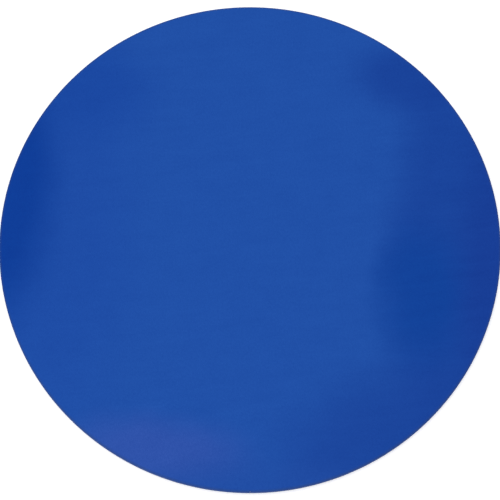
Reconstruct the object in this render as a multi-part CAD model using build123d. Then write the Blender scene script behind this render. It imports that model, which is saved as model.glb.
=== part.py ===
"""Round folding poker table top: two cloth-covered half discs that fold face to face, like a book.

Frame: millimetres, +Z up. The origin is the centre of the disc on the surface that its feet stand on.
The fold line runs along Y. The left half (x < 0) stays put.
The right half (x > 0) folds up and over it.
"""
from build123d import *
from math import cos, pi, radians, sin, sqrt
import os

# ---------------------------------------------------------------- driving dimensions
TOP_DIAMETER = 1219.2
BOARD_THICKNESS = 15.0
FOAM_THICKNESS = 2.0
CLOTH_THICKNESS = 1.0
LINING_THICKNESS = 1.0
FOOT_HEIGHT = 10.0

RIM_ROUND = 5.0            # outside radius of the cloth over the top edge
UNDER_ROUND = 2.5          # outside radius of the cloth under the bottom edge
CLOTH_RETURN = 30.0        # how far the cloth turns in under the board
LINING_MARGIN = 14.0       # from the rim to the edge of the lining
LINING_STEP = 3.0          # length of the slope where the lining climbs over the cloth
LINING_STEP_GAP = 0.2      # from the cloth's cut edge to the end of that slope
LINING_STEP_SHIFT = 0.5    # how much further in the slope's lower face lies
FOLD_GAP = 0.2             # from the fold plane to each mating face
NAP_GAP = 0.2              # from the cloth's face up to the fold axis
BAND_THICKNESS = 1.0       # edge band on each mating face

# concealed hinges, let into the mating faces
HINGE_RIM_MARGIN = 128.6   # from the board's rim to the middle of an outer hinge
HINGE_INNER_PLACE = 170.0  # from the middle of the fold to the middle of an inner hinge
HINGE_PIN_RADIUS = 1.0
HINGE_PIN_SETBACK = 2.5    # from the fold plane to the pin
HINGE_PIN_COVER = 4.0      # from the board's top face down to the pin
LINK_HALF_WIDTH = 2.0
LINK_THICKNESS = 2.6
LINK_SIDE_GAP = 0.3
LINK_CLEARANCE = 0.4
LINK_END_RUN = 0.5         # how much further the links run level before they climb to the guide pin
GUIDE_OFFSET = 6.0         # how much deeper the guide pin ends than the hinge pin when folded
LEFT_LINK_PLACES = (-3, -1, 1, 3)
RIGHT_LINK_PLACES = (-2, 0, 2)
CHEEK_THICKNESS = 4.2
GUIDE_PIN_BITE = 3.0       # how far a guide pin runs into each cheek
POCKET_TOP_GAP = 0.6
POCKET_FLOOR_GAP = 0.5
HINGE_WALL = 0.9
HINGE_BACK_WALL = 1.5
HINGE_PLATE_THICKNESS = 2.0
HINGE_PLATE_LENGTH = 60.0
HINGE_SCREW_SPACING = 46.0

RUNNING_CLEARANCE = 0.05
SEATED_CLEARANCE = 0.02
SLOT_CLEARANCE = 0.15
BORE_CLEARANCE = 0.1
CUT_OVERLAP = 1.0          # how far a cutting tool runs past what it cuts
SWEEP_STEP = 5             # degrees of fold between the samples of the links' path
TRACK_STEP = 6             # degrees of fold between the points of the guide slots

# screws: shank radius, head radius, length
HINGE_SCREW = (1.6, 3.1, 18.0)
PLATE_SCREW = (1.6, 2.9, 12.0)
FOOT_SCREW = (1.9, 3.8, 16.0)
PILOT_SHARE = 0.7          # pilot hole radius as a share of the shank radius
TIP_SHARE = 1.6            # length of a screw's point as a share of the shank radius
POINT_SHARE = 0.25         # radius at the very end of it, as a share of the shank radius
DRIVE_WIDTH = 0.9
DRIVE_DEPTH = 1.1
DRIVE_SPAN_SHARE = 1.1     # width of the drive's cross as a share of the head radius

# rubber feet on each half: two rings, with angles from the half's own middle line
FOOT_RIM_MARGIN = 90.6     # from the lining's edge in to the outer ring
FOOT_RING_ANGLES = (-66.0, -38.0, 38.0, 66.0)
FOOT_INNER_RING = 210.0
FOOT_INNER_ANGLES = (-62.0, 62.0)
FOOT_RADIUS = 15.0
FOOT_TAPER = 2.0
FOOT_WELL_RADIUS = 6.0
FOOT_WELL_DEPTH = 5.5
FOOT_ROUND = 1.2

# flat slide bolts that hold the top open
BOLT_PLACES = (-325.0, 325.0)
BOLT_WIDTH = 16.0
BOLT_THICKNESS = 3.4
BOLT_OVERHANG = 6.0       # tail left behind the far bridge when the bolt is shot
BOLT_SETBACK = 6.0         # from the fold plane to the nose when drawn back
BOLT_TRAVEL = 28.0
BOLT_SIDE_CLEARANCE = 0.75
BOLT_FLAT_CLEARANCE = 0.5
RIDGE_LENGTH = 10.0
RIDGE_HEIGHT = 1.5
RIDGE_END_GAP = 0.5
RIDGE_GROOVE_RADIUS = 0.7
RIDGE_GROOVES = 3
BOLT_NOSE_ROUND = 3.0
BOLT_TAIL_CHAMFER = 1.0
SHEET_METAL = 1.2
BRIDGE_ROUND_SHARE = 0.9   # outside round of a bridge as a share of its metal
PLATE_CORNER = 3.0
GUIDE_BRIDGE_LENGTH = 10.0
GUIDE_SETBACK = 2.0        # from the drawn-back nose to the near bridge
GUIDE_SCREW_INSET = 8.0
KEEPER_SETBACK = 8.0
KEEPER_LENGTH = 16.0
FLANGE_WIDTH = 12.0

# drop handle
HANDLE_ROD_RADIUS = 2.5
HANDLE_GRIP_LENGTH = 128.0
HANDLE_LEG = 88.0
HANDLE_BEND = 12.0
HANDLE_PIVOT_INSET = 58.0  # from the rim to the pivot
HANDLE_STUB_OVERHANG = 3.5
HANDLE_ROOF_GAP = 0.3      # between the bail and the staples that it swings past
HANDLE_SLEEVE_WALL = 0.8
HANDLE_SLEEVE_END_GAP = 2.0  # from each end of the sleeve to the start of the bend
HANDLE_EYE_WALL = 1.1
HANDLE_EYE_LENGTH = 13.0
HANDLE_EYE_GAP = 0.5
HANDLE_SCREW_SPREAD = 16.0
HANDLE_PLATE_WIDTH = 28.0
HANDLE_PLATE_DEPTH = 26.0
HANDLE_NECK = 4.0

# closing straps
STRAP_PLACES = (-205.0, 205.0)
STRAP_WIDTH = 38.0
STRAP_THICKNESS = 1.8
STRAP_LENGTH = 214.0
STRAP_PIN_RADIUS = 1.6
STRAP_EYE_WALL = 1.2
STRAP_BRACKET_INSET = 42.0
STRAP_PLATE_DEPTH = 22.0
STRAP_EAR = 1.5
STRAP_EAR_WALL = 1.6
STRAP_PIN_INSET = 6.0
STRAP_SCREW_INSET = 6.0
STRAP_SCREW_SPACING = 22.0
STRAP_ROOF_GAP = 0.3
STRAP_SIDE_GAP = 0.6
STRAP_TAIL_ROUND = 8.0
HOOK_LENGTH = 55.0
HOOK_THICKNESS = 0.8
HOOK_END_INSET = 6.0
HOOK_SIDE_INSET = 2.0
HOOK_ROUND = 5.0
PATCH_LENGTH = 62.0
PATCH_THICKNESS = 1.0
PATCH_RIM_INSET = 6.0      # from the flat lining's edge to the patch's corners
PATCH_SIDE_MARGIN = 1.0    # how much wider than the strap on each side
PATCH_ROUND = 3.0

# staples that hold the lining and the cloth
STAPLE_PITCH = 46.0
STAPLE_INSET = 21.0
STAPLE_CROWN = 10.0
STAPLE_WIRE = 0.7
STAPLE_LEG = 8.0

# ---------------------------------------------------------------- levels and shared places
TOP_RADIUS = TOP_DIAMETER / 2
Z_LINING = FOOT_HEIGHT
Z_BOARD = Z_LINING + LINING_THICKNESS
Z_FOAM = Z_BOARD + BOARD_THICKNESS
Z_CLOTH = Z_FOAM + FOAM_THICKNESS
Z_TOP = Z_CLOTH + CLOTH_THICKNESS
Z_AXIS = Z_TOP + NAP_GAP
CORE_RADIUS = TOP_RADIUS - CLOTH_THICKNESS
LINING_RADIUS = TOP_RADIUS - LINING_MARGIN
STAPLE_LOW = Z_BOARD - CLOTH_THICKNESS - LINING_THICKNESS - STAPLE_WIRE
FLAT_LINING_RADIUS = TOP_RADIUS - CLOTH_RETURN - LINING_STEP - LINING_THICKNESS
HINGE_OUTER_PLACE = CORE_RADIUS - HINGE_RIM_MARGIN
HINGE_PLACES = (-HINGE_OUTER_PLACE, -HINGE_INNER_PLACE, HINGE_INNER_PLACE, HINGE_OUTER_PLACE)
FOOT_RING = LINING_RADIUS - FOOT_RIM_MARGIN

PIN_Z = Z_FOAM - HINGE_PIN_COVER
PIN_DEPTH = Z_AXIS - PIN_Z
LINK_REACH = HINGE_PIN_SETBACK + LINK_HALF_WIDTH + LINK_CLEARANCE
LINK_SPAN = 2 * PIN_DEPTH + GUIDE_OFFSET
LINK_RISE = LINK_SPAN - LINK_REACH - LINK_END_RUN
LINK_PITCH = LINK_THICKNESS + LINK_SIDE_GAP
POCKET_HALF_WIDTH = (len(LEFT_LINK_PLACES) + len(RIGHT_LINK_PLACES)) * LINK_PITCH / 2
HINGE_HALF_WIDTH = POCKET_HALF_WIDTH + CHEEK_THICKNESS

LEFT = -1
RIGHT = 1
UP = (Align.CENTER, Align.CENTER, Align.MIN)


# ---------------------------------------------------------------- helpers
def block(x0, x1, y0, y1, z0, z1):
    """A box between two corners, whichever way round each pair is given."""
    size = (abs(x1 - x0), abs(y1 - y0), abs(z1 - z0))
    return Pos((x0 + x1) / 2, (y0 + y1) / 2, (z0 + z1) / 2) * Box(*size)


def rod(radius, x, z, y0, y1):
    """A cylinder along Y."""
    return Pos(x, (y0 + y1) / 2, z) * Rot(90, 0, 0) * Cylinder(radius, abs(y1 - y0))


def half_space(side, start=FOLD_GAP):
    """Everything on one side of the fold, from start outwards."""
    reach = TOP_RADIUS + CUT_OVERLAP
    return block(side * start, side * reach, -reach, reach, -reach, reach)


def screw(kind):
    """A countersunk screw with a cross drive: its head's face is at z = 0, and it points along +Z."""
    shank, head, length = kind
    cone = head - shank
    tip = shank * TIP_SHARE
    body = Cone(head, shank, cone, align=UP)
    body += Pos(0, 0, cone) * Cylinder(shank, length - cone - tip, align=UP)
    body += Pos(0, 0, length - tip) * Cone(shank, shank * POINT_SHARE, tip, align=UP)
    span = head * DRIVE_SPAN_SHARE
    drive = Box(span, DRIVE_WIDTH, DRIVE_DEPTH, align=UP) + Box(DRIVE_WIDTH, span, DRIVE_DEPTH, align=UP)
    return body - drive


def screw_seat(kind, depth):
    """What a screw of this kind needs cut from the plate under its head."""
    shank, head, _ = kind
    cone = head - shank
    seat = Cone(head + BORE_CLEARANCE, shank + BORE_CLEARANCE, cone, align=UP)
    return seat + Pos(0, 0, cone) * Cylinder(shank + BORE_CLEARANCE, depth, align=UP)


def pilot(kind):
    """The pilot hole that a screw cuts its thread in, from its head's face."""
    shank, _, length = kind
    return Cylinder(shank * PILOT_SHARE, length, align=UP)


def clear_hole(kind, length):
    """A hole that a screw's shank passes through freely."""
    return Cylinder(kind[0] + BORE_CLEARANCE, length, align=UP)


def placed(shape, places):
    """Copies of a shape at several locations."""
    return [place * shape for place in places]


def plate_seats(points):
    """Countersinks for screws that come up through a sheet metal plate on the lining."""
    return placed(screw_seat(PLATE_SCREW, SHEET_METAL), underside_places(points))


def cut_all(shape, tools):
    """A shape less many tools."""
    return shape - tools if tools else shape


def write(name, solids):
    """Writes one node, from a list of shapes, as one STEP file."""
    members = [s for shape in solids for s in shape.solids()]
    made = members[0] if len(members) == 1 else Compound(children=members)
    made.label = name
    export_step(made, f"parts/{name}.step")


# ---------------------------------------------------------------- places of feet and fasteners
def foot_places(side):
    rings = [(FOOT_RING, a) for a in FOOT_RING_ANGLES]
    rings += [(FOOT_INNER_RING, a) for a in FOOT_INNER_ANGLES]
    return [Pos(side * r * cos(radians(a)), r * sin(radians(a)), 0) for r, a in rings]


def hinge_screw_places(side):
    """Head faces lie in the hinge plates' faces, and the screws point away from the fold."""
    z = (HINGE_TOP + HINGE_BOTTOM) / 2
    ends = [y + s * HINGE_SCREW_SPACING / 2 for y in HINGE_PLACES for s in (-1, 1)]
    return [Pos(side * FOLD_GAP, y, z) * Rot(0, side * 90, 0) for y in ends]


def underside_places(points, drop=SHEET_METAL):
    """Places for screws that come up through a plate that lies on the lining."""
    return [Pos(x, y, Z_LINING - drop) for x, y in points]


# ---------------------------------------------------------------- concealed hinge geometry
def link_line():
    """The left links' centre line in the X-Z plane at rest, as (x, depth below the axis) points."""
    start_x, start_z = -HINGE_PIN_SETBACK, -PIN_DEPTH
    route = ((0, 0), (0, -LINK_REACH), (LINK_RISE, -LINK_REACH), (LINK_SPAN, 0))
    return [(start_x + x, start_z + z) for x, z in route]


def turned(point, centre, angle):
    """A point turned about a centre in the X-Z plane, anticlockwise as seen from -Y."""
    x, z = point[0] - centre[0], point[1] - centre[1]
    c, s = cos(radians(angle)), sin(radians(angle))
    return (centre[0] + x * c - z * s, centre[1] + x * s + z * c)


def in_partner(point, fold):
    """Where a point of the left links is, in the right half's own frame, at a fold angle."""
    moved = turned(point, (-HINGE_PIN_SETBACK, -PIN_DEPTH), fold / 2)
    return turned(moved, (0, 0), -fold)


def sampled_line(steps=12):
    points = link_line()
    pairs = zip(points, points[1:])
    return [
        (a[0] + (b[0] - a[0]) * k / steps, a[1] + (b[1] - a[1]) * k / steps)
        for a, b in pairs
        for k in range(steps + 1)
    ]


def pocket_reach():
    """How deep the links go below the axis and away from the fold inside a hinge body."""
    path = [in_partner(p, f) for f in range(0, 181, SWEEP_STEP) for p in sampled_line()]
    inside = [p for p in path if p[0] > -LINK_HALF_WIDTH]
    lowest = min(p[1] for p in inside) - LINK_HALF_WIDTH
    deepest = max(p[0] for p in inside) + LINK_HALF_WIDTH
    return -lowest, deepest


POCKET_LOW, POCKET_DEEP = pocket_reach()
POCKET_TOP = PIN_Z + LINK_HALF_WIDTH + POCKET_TOP_GAP
POCKET_BOTTOM = Z_AXIS - POCKET_LOW - POCKET_FLOOR_GAP
POCKET_DEPTH = POCKET_DEEP + POCKET_FLOOR_GAP
HINGE_TOP = Z_FOAM
HINGE_BOTTOM = POCKET_BOTTOM - HINGE_WALL
HINGE_DEPTH = POCKET_DEPTH + HINGE_BACK_WALL


def guide_track():
    """The curved slots that the left links' guide pin runs in, cut in the right body's cheeks."""
    end = link_line()[-1]
    points = [in_partner(end, f) for f in range(0, 181, TRACK_STEP)]
    line = Polyline(*[(x, z + Z_AXIS) for x, z in points])
    width = 2 * (HINGE_PIN_RADIUS + SLOT_CLEARANCE)
    ends = [Pos(x, z + Z_AXIS) * Circle(width / 2) for x, z in (points[0], points[-1])]
    outline = trace(line, width) + ends
    reach = POCKET_HALF_WIDTH + GUIDE_PIN_BITE + SLOT_CLEARANCE
    face = Plane(origin=(0, reach, 0), x_dir=(1, 0, 0), z_dir=(0, -1, 0)) * outline
    return extrude(face, 2 * reach, dir=(0, -1, 0))


def hinge_body():
    """One hinge body for the right half: a face plate, and a box with a pocket for the links."""
    plate_half = HINGE_PLATE_LENGTH / 2
    plate_back = FOLD_GAP + HINGE_PLATE_THICKNESS
    wide, inner = HINGE_HALF_WIDTH, POCKET_HALF_WIDTH
    plate = block(FOLD_GAP, plate_back, -plate_half, plate_half, HINGE_BOTTOM, HINGE_TOP)
    box = block(FOLD_GAP, HINGE_DEPTH, -wide, wide, HINGE_BOTTOM, HINGE_TOP)
    pocket = block(0, POCKET_DEPTH, -inner, inner, POCKET_BOTTOM, POCKET_TOP)
    pin_hole = rod(HINGE_PIN_RADIUS + SEATED_CLEARANCE, HINGE_PIN_SETBACK, PIN_Z, -wide, wide)
    z = (HINGE_TOP + HINGE_BOTTOM) / 2
    seats = [
        Pos(FOLD_GAP, s * HINGE_SCREW_SPACING / 2, z) * Rot(0, 90, 0) * screw_seat(HINGE_SCREW, HINGE_DEPTH)
        for s in (-1, 1)
    ]
    return plate + box - pocket - pin_hole - guide_track() - seats


def hinge_recess(side):
    """What each board and edge band loses to one hinge body, with an easy fit all round."""
    ease = BORE_CLEARANCE
    low, high = HINGE_BOTTOM - ease, HINGE_TOP + ease
    plate_half = HINGE_PLATE_LENGTH / 2 + ease
    plate = block(0, side * (FOLD_GAP + HINGE_PLATE_THICKNESS + ease), -plate_half, plate_half, low, high)
    wide = HINGE_HALF_WIDTH + ease
    return plate + block(0, side * (HINGE_DEPTH + ease), -wide, wide, low, high)


def links(side):
    """The link plates of one hinge, pinned to the body on that side of the fold."""
    line = [(-side * x, z + Z_AXIS) for x, z in link_line()]
    outline = trace(Polyline(*line), 2 * LINK_HALF_WIDTH)
    outline += [Pos(x, z) * Circle(LINK_HALF_WIDTH) for x, z in line]
    outline -= Pos(*line[0]) * Circle(HINGE_PIN_RADIUS + RUNNING_CLEARANCE)
    outline -= Pos(*line[-1]) * Circle(HINGE_PIN_RADIUS + SEATED_CLEARANCE)
    upright = Plane(origin=(0, LINK_THICKNESS / 2, 0), x_dir=(1, 0, 0), z_dir=(0, -1, 0))
    plate = extrude(upright * outline, LINK_THICKNESS, dir=(0, -1, 0))
    places = LEFT_LINK_PLACES if side == LEFT else RIGHT_LINK_PLACES
    return [Pos(0, k * LINK_PITCH, 0) * plate for k in places]


def hinge_pin(side):
    return rod(HINGE_PIN_RADIUS, side * HINGE_PIN_SETBACK, PIN_Z, -HINGE_HALF_WIDTH, HINGE_HALF_WIDTH)


def guide_pin(side):
    """The pin in the far end of one side's links: it runs in the other body's slots."""
    x = -side * link_line()[-1][0]
    reach = POCKET_HALF_WIDTH + GUIDE_PIN_BITE
    return rod(HINGE_PIN_RADIUS, x, PIN_Z, -reach, reach)


def at_hinges(shapes):
    return [Pos(0, y, 0) * shape for y in HINGE_PLACES for shape in shapes]


# ---------------------------------------------------------------- panels
def core():
    """Board and foam together, before they are split: a disc with its edges rounded."""
    disc = Pos(0, 0, Z_BOARD) * Cylinder(CORE_RADIUS, Z_CLOTH - Z_BOARD, align=UP)
    disc = fillet(disc.edges().group_by(Axis.Z)[-1], RIM_ROUND - CLOTH_THICKNESS)
    return fillet(disc.edges().group_by(Axis.Z)[0], UNDER_ROUND - CLOTH_THICKNESS)


def cloth(side, disc):
    """The playing cloth over one half: across the top, round the rim and in under the board."""
    low = Z_BOARD - CLOTH_THICKNESS
    skin = Pos(0, 0, low) * Cylinder(TOP_RADIUS, Z_TOP - low, align=UP)
    skin = fillet(skin.edges().group_by(Axis.Z)[-1], RIM_ROUND)
    skin = fillet(skin.edges().group_by(Axis.Z)[0], UNDER_ROUND)
    bare_height = CLOTH_THICKNESS + 2 * CUT_OVERLAP
    bare = Pos(0, 0, low - CUT_OVERLAP) * Cylinder(TOP_RADIUS - CLOTH_RETURN, bare_height, align=UP)
    return (skin - disc - bare) & half_space(side)


def lining(side, holes):
    """The black lining: flat in the middle, and stepped down over the cloth's edge near the rim."""
    top, low = Z_BOARD, Z_BOARD - LINING_THICKNESS
    step = CLOTH_THICKNESS
    inner = TOP_RADIUS - CLOTH_RETURN - LINING_STEP
    outer = TOP_RADIUS - CLOTH_RETURN - LINING_STEP_GAP
    profile = Polyline(
        (0, top),
        (inner, top),
        (outer, top - step),
        (LINING_RADIUS, top - step),
        (LINING_RADIUS, low - step),
        (outer - LINING_STEP_SHIFT, low - step),
        (inner - LINING_STEP_SHIFT, low),
        (0, low),
        close=True,
    )
    sheet = revolve(Plane.XZ * make_face(profile), Axis.Z, 360)
    return cut_all(sheet & half_space(side), holes)


def board(side, disc, holes):
    """One plywood half disc, with the hinge mortises and pilot holes."""
    slab = half_space(side, FOLD_GAP + BAND_THICKNESS)
    slab &= block(-TOP_RADIUS, TOP_RADIUS, -TOP_RADIUS, TOP_RADIUS, Z_BOARD, Z_FOAM)
    return cut_all(disc & slab, at_hinges([hinge_recess(side)]) + holes)


def edge_band(side, disc):
    """The thin hardwood band glued on one mating face, cut away at the hinges."""
    back = FOLD_GAP + BAND_THICKNESS
    strip = block(side * FOLD_GAP, side * back, -TOP_RADIUS, TOP_RADIUS, Z_BOARD, Z_FOAM)
    return cut_all(disc & strip, at_hinges([hinge_recess(side)]))


def foam(side, disc):
    """The thin foam underlay between board and cloth."""
    layer = block(-TOP_RADIUS, TOP_RADIUS, -TOP_RADIUS, TOP_RADIUS, Z_FOAM, Z_CLOTH)
    return disc & layer & half_space(side)


# ---------------------------------------------------------------- feet and staples
def foot():
    """One tapered rubber foot with a well for its screw's head."""
    body = Cone(FOOT_RADIUS - FOOT_TAPER, FOOT_RADIUS, FOOT_HEIGHT, align=UP)
    body = fillet(body.edges().group_by(Axis.Z)[0], FOOT_ROUND)
    well = Cylinder(FOOT_WELL_RADIUS, FOOT_WELL_DEPTH, align=UP)
    return body - well - Pos(0, 0, FOOT_WELL_DEPTH) * screw_seat(FOOT_SCREW, FOOT_HEIGHT)


def staples(side):
    """A row of staples along the lining's edge."""
    radius = TOP_RADIUS - STAPLE_INSET
    count = int(pi * radius / STAPLE_PITCH)
    half_crown = STAPLE_CROWN / 2
    low = Z_BOARD - CLOTH_THICKNESS - LINING_THICKNESS
    half_wire = STAPLE_WIRE / 2
    one = block(-half_wire, half_wire, -half_crown, half_crown, low - STAPLE_WIRE, low)
    for s in (-1, 1):
        inner = s * (half_crown - STAPLE_WIRE)
        one += block(-half_wire, half_wire, inner, s * half_crown, low - STAPLE_WIRE, low + STAPLE_LEG)
    angles = [180 * (k + 0.5) / count - 90 for k in range(count)]
    start = 180 if side == LEFT else 0
    return [Rot(0, 0, start + a) * Pos(radius, 0, 0) * one for a in angles]


# ---------------------------------------------------------------- slide bolts
def bridge_profile(length, x0):
    """A pressed bridge over the bolt, with its two flanges flat on the lining."""
    half = BOLT_WIDTH / 2 + BOLT_SIDE_CLEARANCE
    outer = half + SHEET_METAL
    tall = BOLT_THICKNESS + 2 * BOLT_FLAT_CLEARANCE
    x1 = x0 + length
    top = Z_LINING - SHEET_METAL
    low = top - tall - SHEET_METAL
    hoop = block(x0, x1, -outer, outer, low, top)
    hoop -= block(x0 - CUT_OVERLAP, x1 + CUT_OVERLAP, -half, half, low + SHEET_METAL, top)
    return fillet(hoop.edges().filter_by(Axis.X).group_by(Axis.Z)[0], SHEET_METAL * BRIDGE_ROUND_SHARE)


def guide_screw_points():
    x0, x1 = guide_ends()
    y = BOLT_WIDTH / 2 + BOLT_SIDE_CLEARANCE + SHEET_METAL + FLANGE_WIDTH / 2
    ends = (x0 + GUIDE_SCREW_INSET, x1 - GUIDE_SCREW_INSET)
    return [(x, y0 + s * y) for y0 in BOLT_PLACES for x in ends for s in (-1, 1)]


def guide_ends():
    """Near and far ends of the guide plate along X, from the two bridges that the ridge stops against."""
    x1 = -BOLT_SETBACK - GUIDE_SETBACK
    window = BOLT_TRAVEL + RIDGE_LENGTH + 2 * RIDGE_END_GAP
    return x1 - window - 2 * GUIDE_BRIDGE_LENGTH, x1


def plate_with_seats(x0, x1, points):
    """A flat plate on the lining at y = 0, wide enough for its flanges, with screw seats."""
    half = BOLT_WIDTH / 2 + BOLT_SIDE_CLEARANCE + SHEET_METAL + FLANGE_WIDTH
    plate = block(x0, x1, -half, half, Z_LINING - SHEET_METAL, Z_LINING)
    plate = fillet(plate.edges().filter_by(Axis.Z), PLATE_CORNER)
    return cut_all(plate, plate_seats(points))


def bolt_guide():
    x0, x1 = guide_ends()
    points = [(x, y - BOLT_PLACES[0]) for x, y in guide_screw_points()[:4]]
    guide = plate_with_seats(x0, x1, points)
    guide += bridge_profile(GUIDE_BRIDGE_LENGTH, x0)
    return guide + bridge_profile(GUIDE_BRIDGE_LENGTH, x1 - GUIDE_BRIDGE_LENGTH)


def keeper_screw_points():
    x = KEEPER_SETBACK + KEEPER_LENGTH / 2
    y = BOLT_WIDTH / 2 + BOLT_SIDE_CLEARANCE + SHEET_METAL + FLANGE_WIDTH / 2
    return [(x, y0 + s * y) for y0 in BOLT_PLACES for s in (-1, 1)]


def bolt_keeper():
    points = [(x, y - BOLT_PLACES[0]) for x, y in keeper_screw_points()[:2]]
    keeper = plate_with_seats(KEEPER_SETBACK, KEEPER_SETBACK + KEEPER_LENGTH, points)
    return keeper + bridge_profile(KEEPER_LENGTH, KEEPER_SETBACK)


def slide_bolt():
    """The flat bolt, drawn back: nose towards the fold, with a grooved ridge for the thumb."""
    nose = -BOLT_SETBACK
    tail = guide_ends()[0] - BOLT_OVERHANG - BOLT_TRAVEL
    high = Z_LINING - SHEET_METAL - BOLT_FLAT_CLEARANCE
    low = high - BOLT_THICKNESS
    half = BOLT_WIDTH / 2
    bar = block(tail, nose, -half, half, low, high)
    bar = fillet(bar.edges().filter_by(Axis.Z).group_by(Axis.X)[-1], BOLT_NOSE_ROUND)
    bar = chamfer(bar.edges().filter_by(Axis.Z).group_by(Axis.X)[0], BOLT_TAIL_CHAMFER)
    ridge_x = guide_ends()[0] + GUIDE_BRIDGE_LENGTH + RIDGE_END_GAP
    ridge = block(ridge_x, ridge_x + RIDGE_LENGTH, -half, half, low - RIDGE_HEIGHT, low)
    groove = rod(RIDGE_GROOVE_RADIUS, 0, low - RIDGE_HEIGHT, -half - CUT_OVERLAP, half + CUT_OVERLAP)
    pitch = RIDGE_LENGTH / (RIDGE_GROOVES + 1)
    grooves = [Pos(ridge_x + pitch * k, 0, 0) * groove for k in range(1, RIDGE_GROOVES + 1)]
    return bar + cut_all(ridge, grooves)


# ---------------------------------------------------------------- drop handle
HANDLE_X = HANDLE_PIVOT_INSET - TOP_RADIUS
HANDLE_EYE_RADIUS = HANDLE_ROD_RADIUS + RUNNING_CLEARANCE + HANDLE_EYE_WALL
HANDLE_Z = STAPLE_LOW - HANDLE_ROOF_GAP - HANDLE_ROD_RADIUS


def handle_route():
    """The bail's centre line: in along one stub, round the grip, and out along the other stub."""
    half = HANDLE_GRIP_LENGTH / 2
    stub = HANDLE_BEND / 2 + HANDLE_EYE_GAP + HANDLE_EYE_LENGTH + HANDLE_STUB_OVERHANG
    grip_x = HANDLE_X + HANDLE_LEG
    corners = [
        (HANDLE_X, -half - stub, HANDLE_Z),
        (HANDLE_X, -half, HANDLE_Z),
        (grip_x, -half, HANDLE_Z),
        (grip_x, half, HANDLE_Z),
        (HANDLE_X, half, HANDLE_Z),
        (HANDLE_X, half + stub, HANDLE_Z),
    ]
    return FilletPolyline(*corners, radius=[HANDLE_BEND / 2, HANDLE_BEND, HANDLE_BEND, HANDLE_BEND / 2])


def handle_bail():
    line = handle_route()
    return sweep(Plane(line @ 0, z_dir=line % 0) * Circle(HANDLE_ROD_RADIUS), line)


def handle_sleeve():
    """A vinyl sleeve over the straight of the grip."""
    half = HANDLE_GRIP_LENGTH / 2 - HANDLE_BEND - HANDLE_SLEEVE_END_GAP
    x = HANDLE_X + HANDLE_LEG
    tube = rod(HANDLE_ROD_RADIUS + SEATED_CLEARANCE + HANDLE_SLEEVE_WALL, x, HANDLE_Z, -half, half)
    return tube - rod(HANDLE_ROD_RADIUS + SEATED_CLEARANCE, x, HANDLE_Z, -half, half)


def handle_eye_centres():
    y = HANDLE_GRIP_LENGTH / 2 + HANDLE_BEND / 2 + HANDLE_EYE_GAP + HANDLE_EYE_LENGTH / 2
    return (-y, y)


def handle_screw_points():
    """Two screws for each bracket, both inboard of the pivot so that they meet the flat lining."""
    x = HANDLE_X + HANDLE_EYE_RADIUS + HANDLE_PLATE_DEPTH / 2
    return [(x, y + s * HANDLE_SCREW_SPREAD / 2) for y in handle_eye_centres() for s in (-1, 1)]


def handle_bracket(y):
    """A steel strip rolled round the bail's stub, with its tail screwed to the board."""
    half = HANDLE_EYE_LENGTH / 2
    wide = HANDLE_PLATE_WIDTH / 2
    eye = rod(HANDLE_EYE_RADIUS, HANDLE_X, HANDLE_Z, y - half, y + half)
    plate_x = HANDLE_X + HANDLE_EYE_RADIUS
    tail_end = plate_x + HANDLE_PLATE_DEPTH
    low = Z_LINING - SHEET_METAL
    tail = block(HANDLE_X, tail_end, y - half, y + half, low, Z_LINING)
    plate = block(plate_x + HANDLE_NECK, tail_end, y - wide, y + wide, low, Z_LINING)
    plate = fillet(plate.edges().filter_by(Axis.Z), PLATE_CORNER)
    bracket = eye + tail + plate
    ends = (y - half - CUT_OVERLAP, y + half + CUT_OVERLAP)
    bracket -= rod(HANDLE_ROD_RADIUS + RUNNING_CLEARANCE, HANDLE_X, HANDLE_Z, *ends)
    points = [p for p in handle_screw_points() if abs(p[1] - y) < wide]
    return cut_all(bracket, plate_seats(points))


# ---------------------------------------------------------------- closing straps
STRAP_EYE_RADIUS = STRAP_PIN_RADIUS + RUNNING_CLEARANCE + STRAP_EYE_WALL
STRAP_PIVOT_Z = Z_LINING - SHEET_METAL - STRAP_EYE_RADIUS - STRAP_ROOF_GAP


def strap_pivot_x():
    """Far enough in for the bracket's corners to stay on the flat lining."""
    corner_y = abs(STRAP_PLACES[0]) + STRAP_WIDTH / 2 + STRAP_SIDE_GAP + STRAP_EAR
    edge = sqrt((TOP_RADIUS - STRAP_BRACKET_INSET) ** 2 - corner_y**2)
    return -edge + STRAP_PIN_INSET


def strap_bracket(y):
    """A plate on the lining with two ears that hold the strap's pin."""
    x = strap_pivot_x()
    inner = STRAP_WIDTH / 2 + STRAP_SIDE_GAP
    outer = inner + STRAP_EAR
    x0 = x - STRAP_PIN_INSET
    low = Z_LINING - SHEET_METAL
    ear = STRAP_PIN_RADIUS + SEATED_CLEARANCE + STRAP_EAR_WALL
    bracket = block(x0, x0 + STRAP_PLATE_DEPTH, y - outer, y + outer, low, Z_LINING)
    for s in (-1, 1):
        near, far = y + s * inner, y + s * outer
        bracket += block(x - ear, x + ear, near, far, STRAP_PIVOT_Z, low)
        bracket += rod(ear, x, STRAP_PIVOT_Z, near, far)
    ends = (y - outer - CUT_OVERLAP, y + outer + CUT_OVERLAP)
    bracket -= rod(STRAP_PIN_RADIUS + SEATED_CLEARANCE, x, STRAP_PIVOT_Z, *ends)
    return cut_all(bracket, plate_seats(strap_screw_points(y)))


def strap_screw_points(y):
    x = strap_pivot_x() - STRAP_PIN_INSET + STRAP_PLATE_DEPTH - STRAP_SCREW_INSET
    return [(x, y - STRAP_SCREW_SPACING / 2), (x, y + STRAP_SCREW_SPACING / 2)]


def strap_pin(y):
    outer = STRAP_WIDTH / 2 + STRAP_SIDE_GAP + STRAP_EAR
    return rod(STRAP_PIN_RADIUS, strap_pivot_x(), STRAP_PIVOT_Z, y - outer, y + outer)


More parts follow.
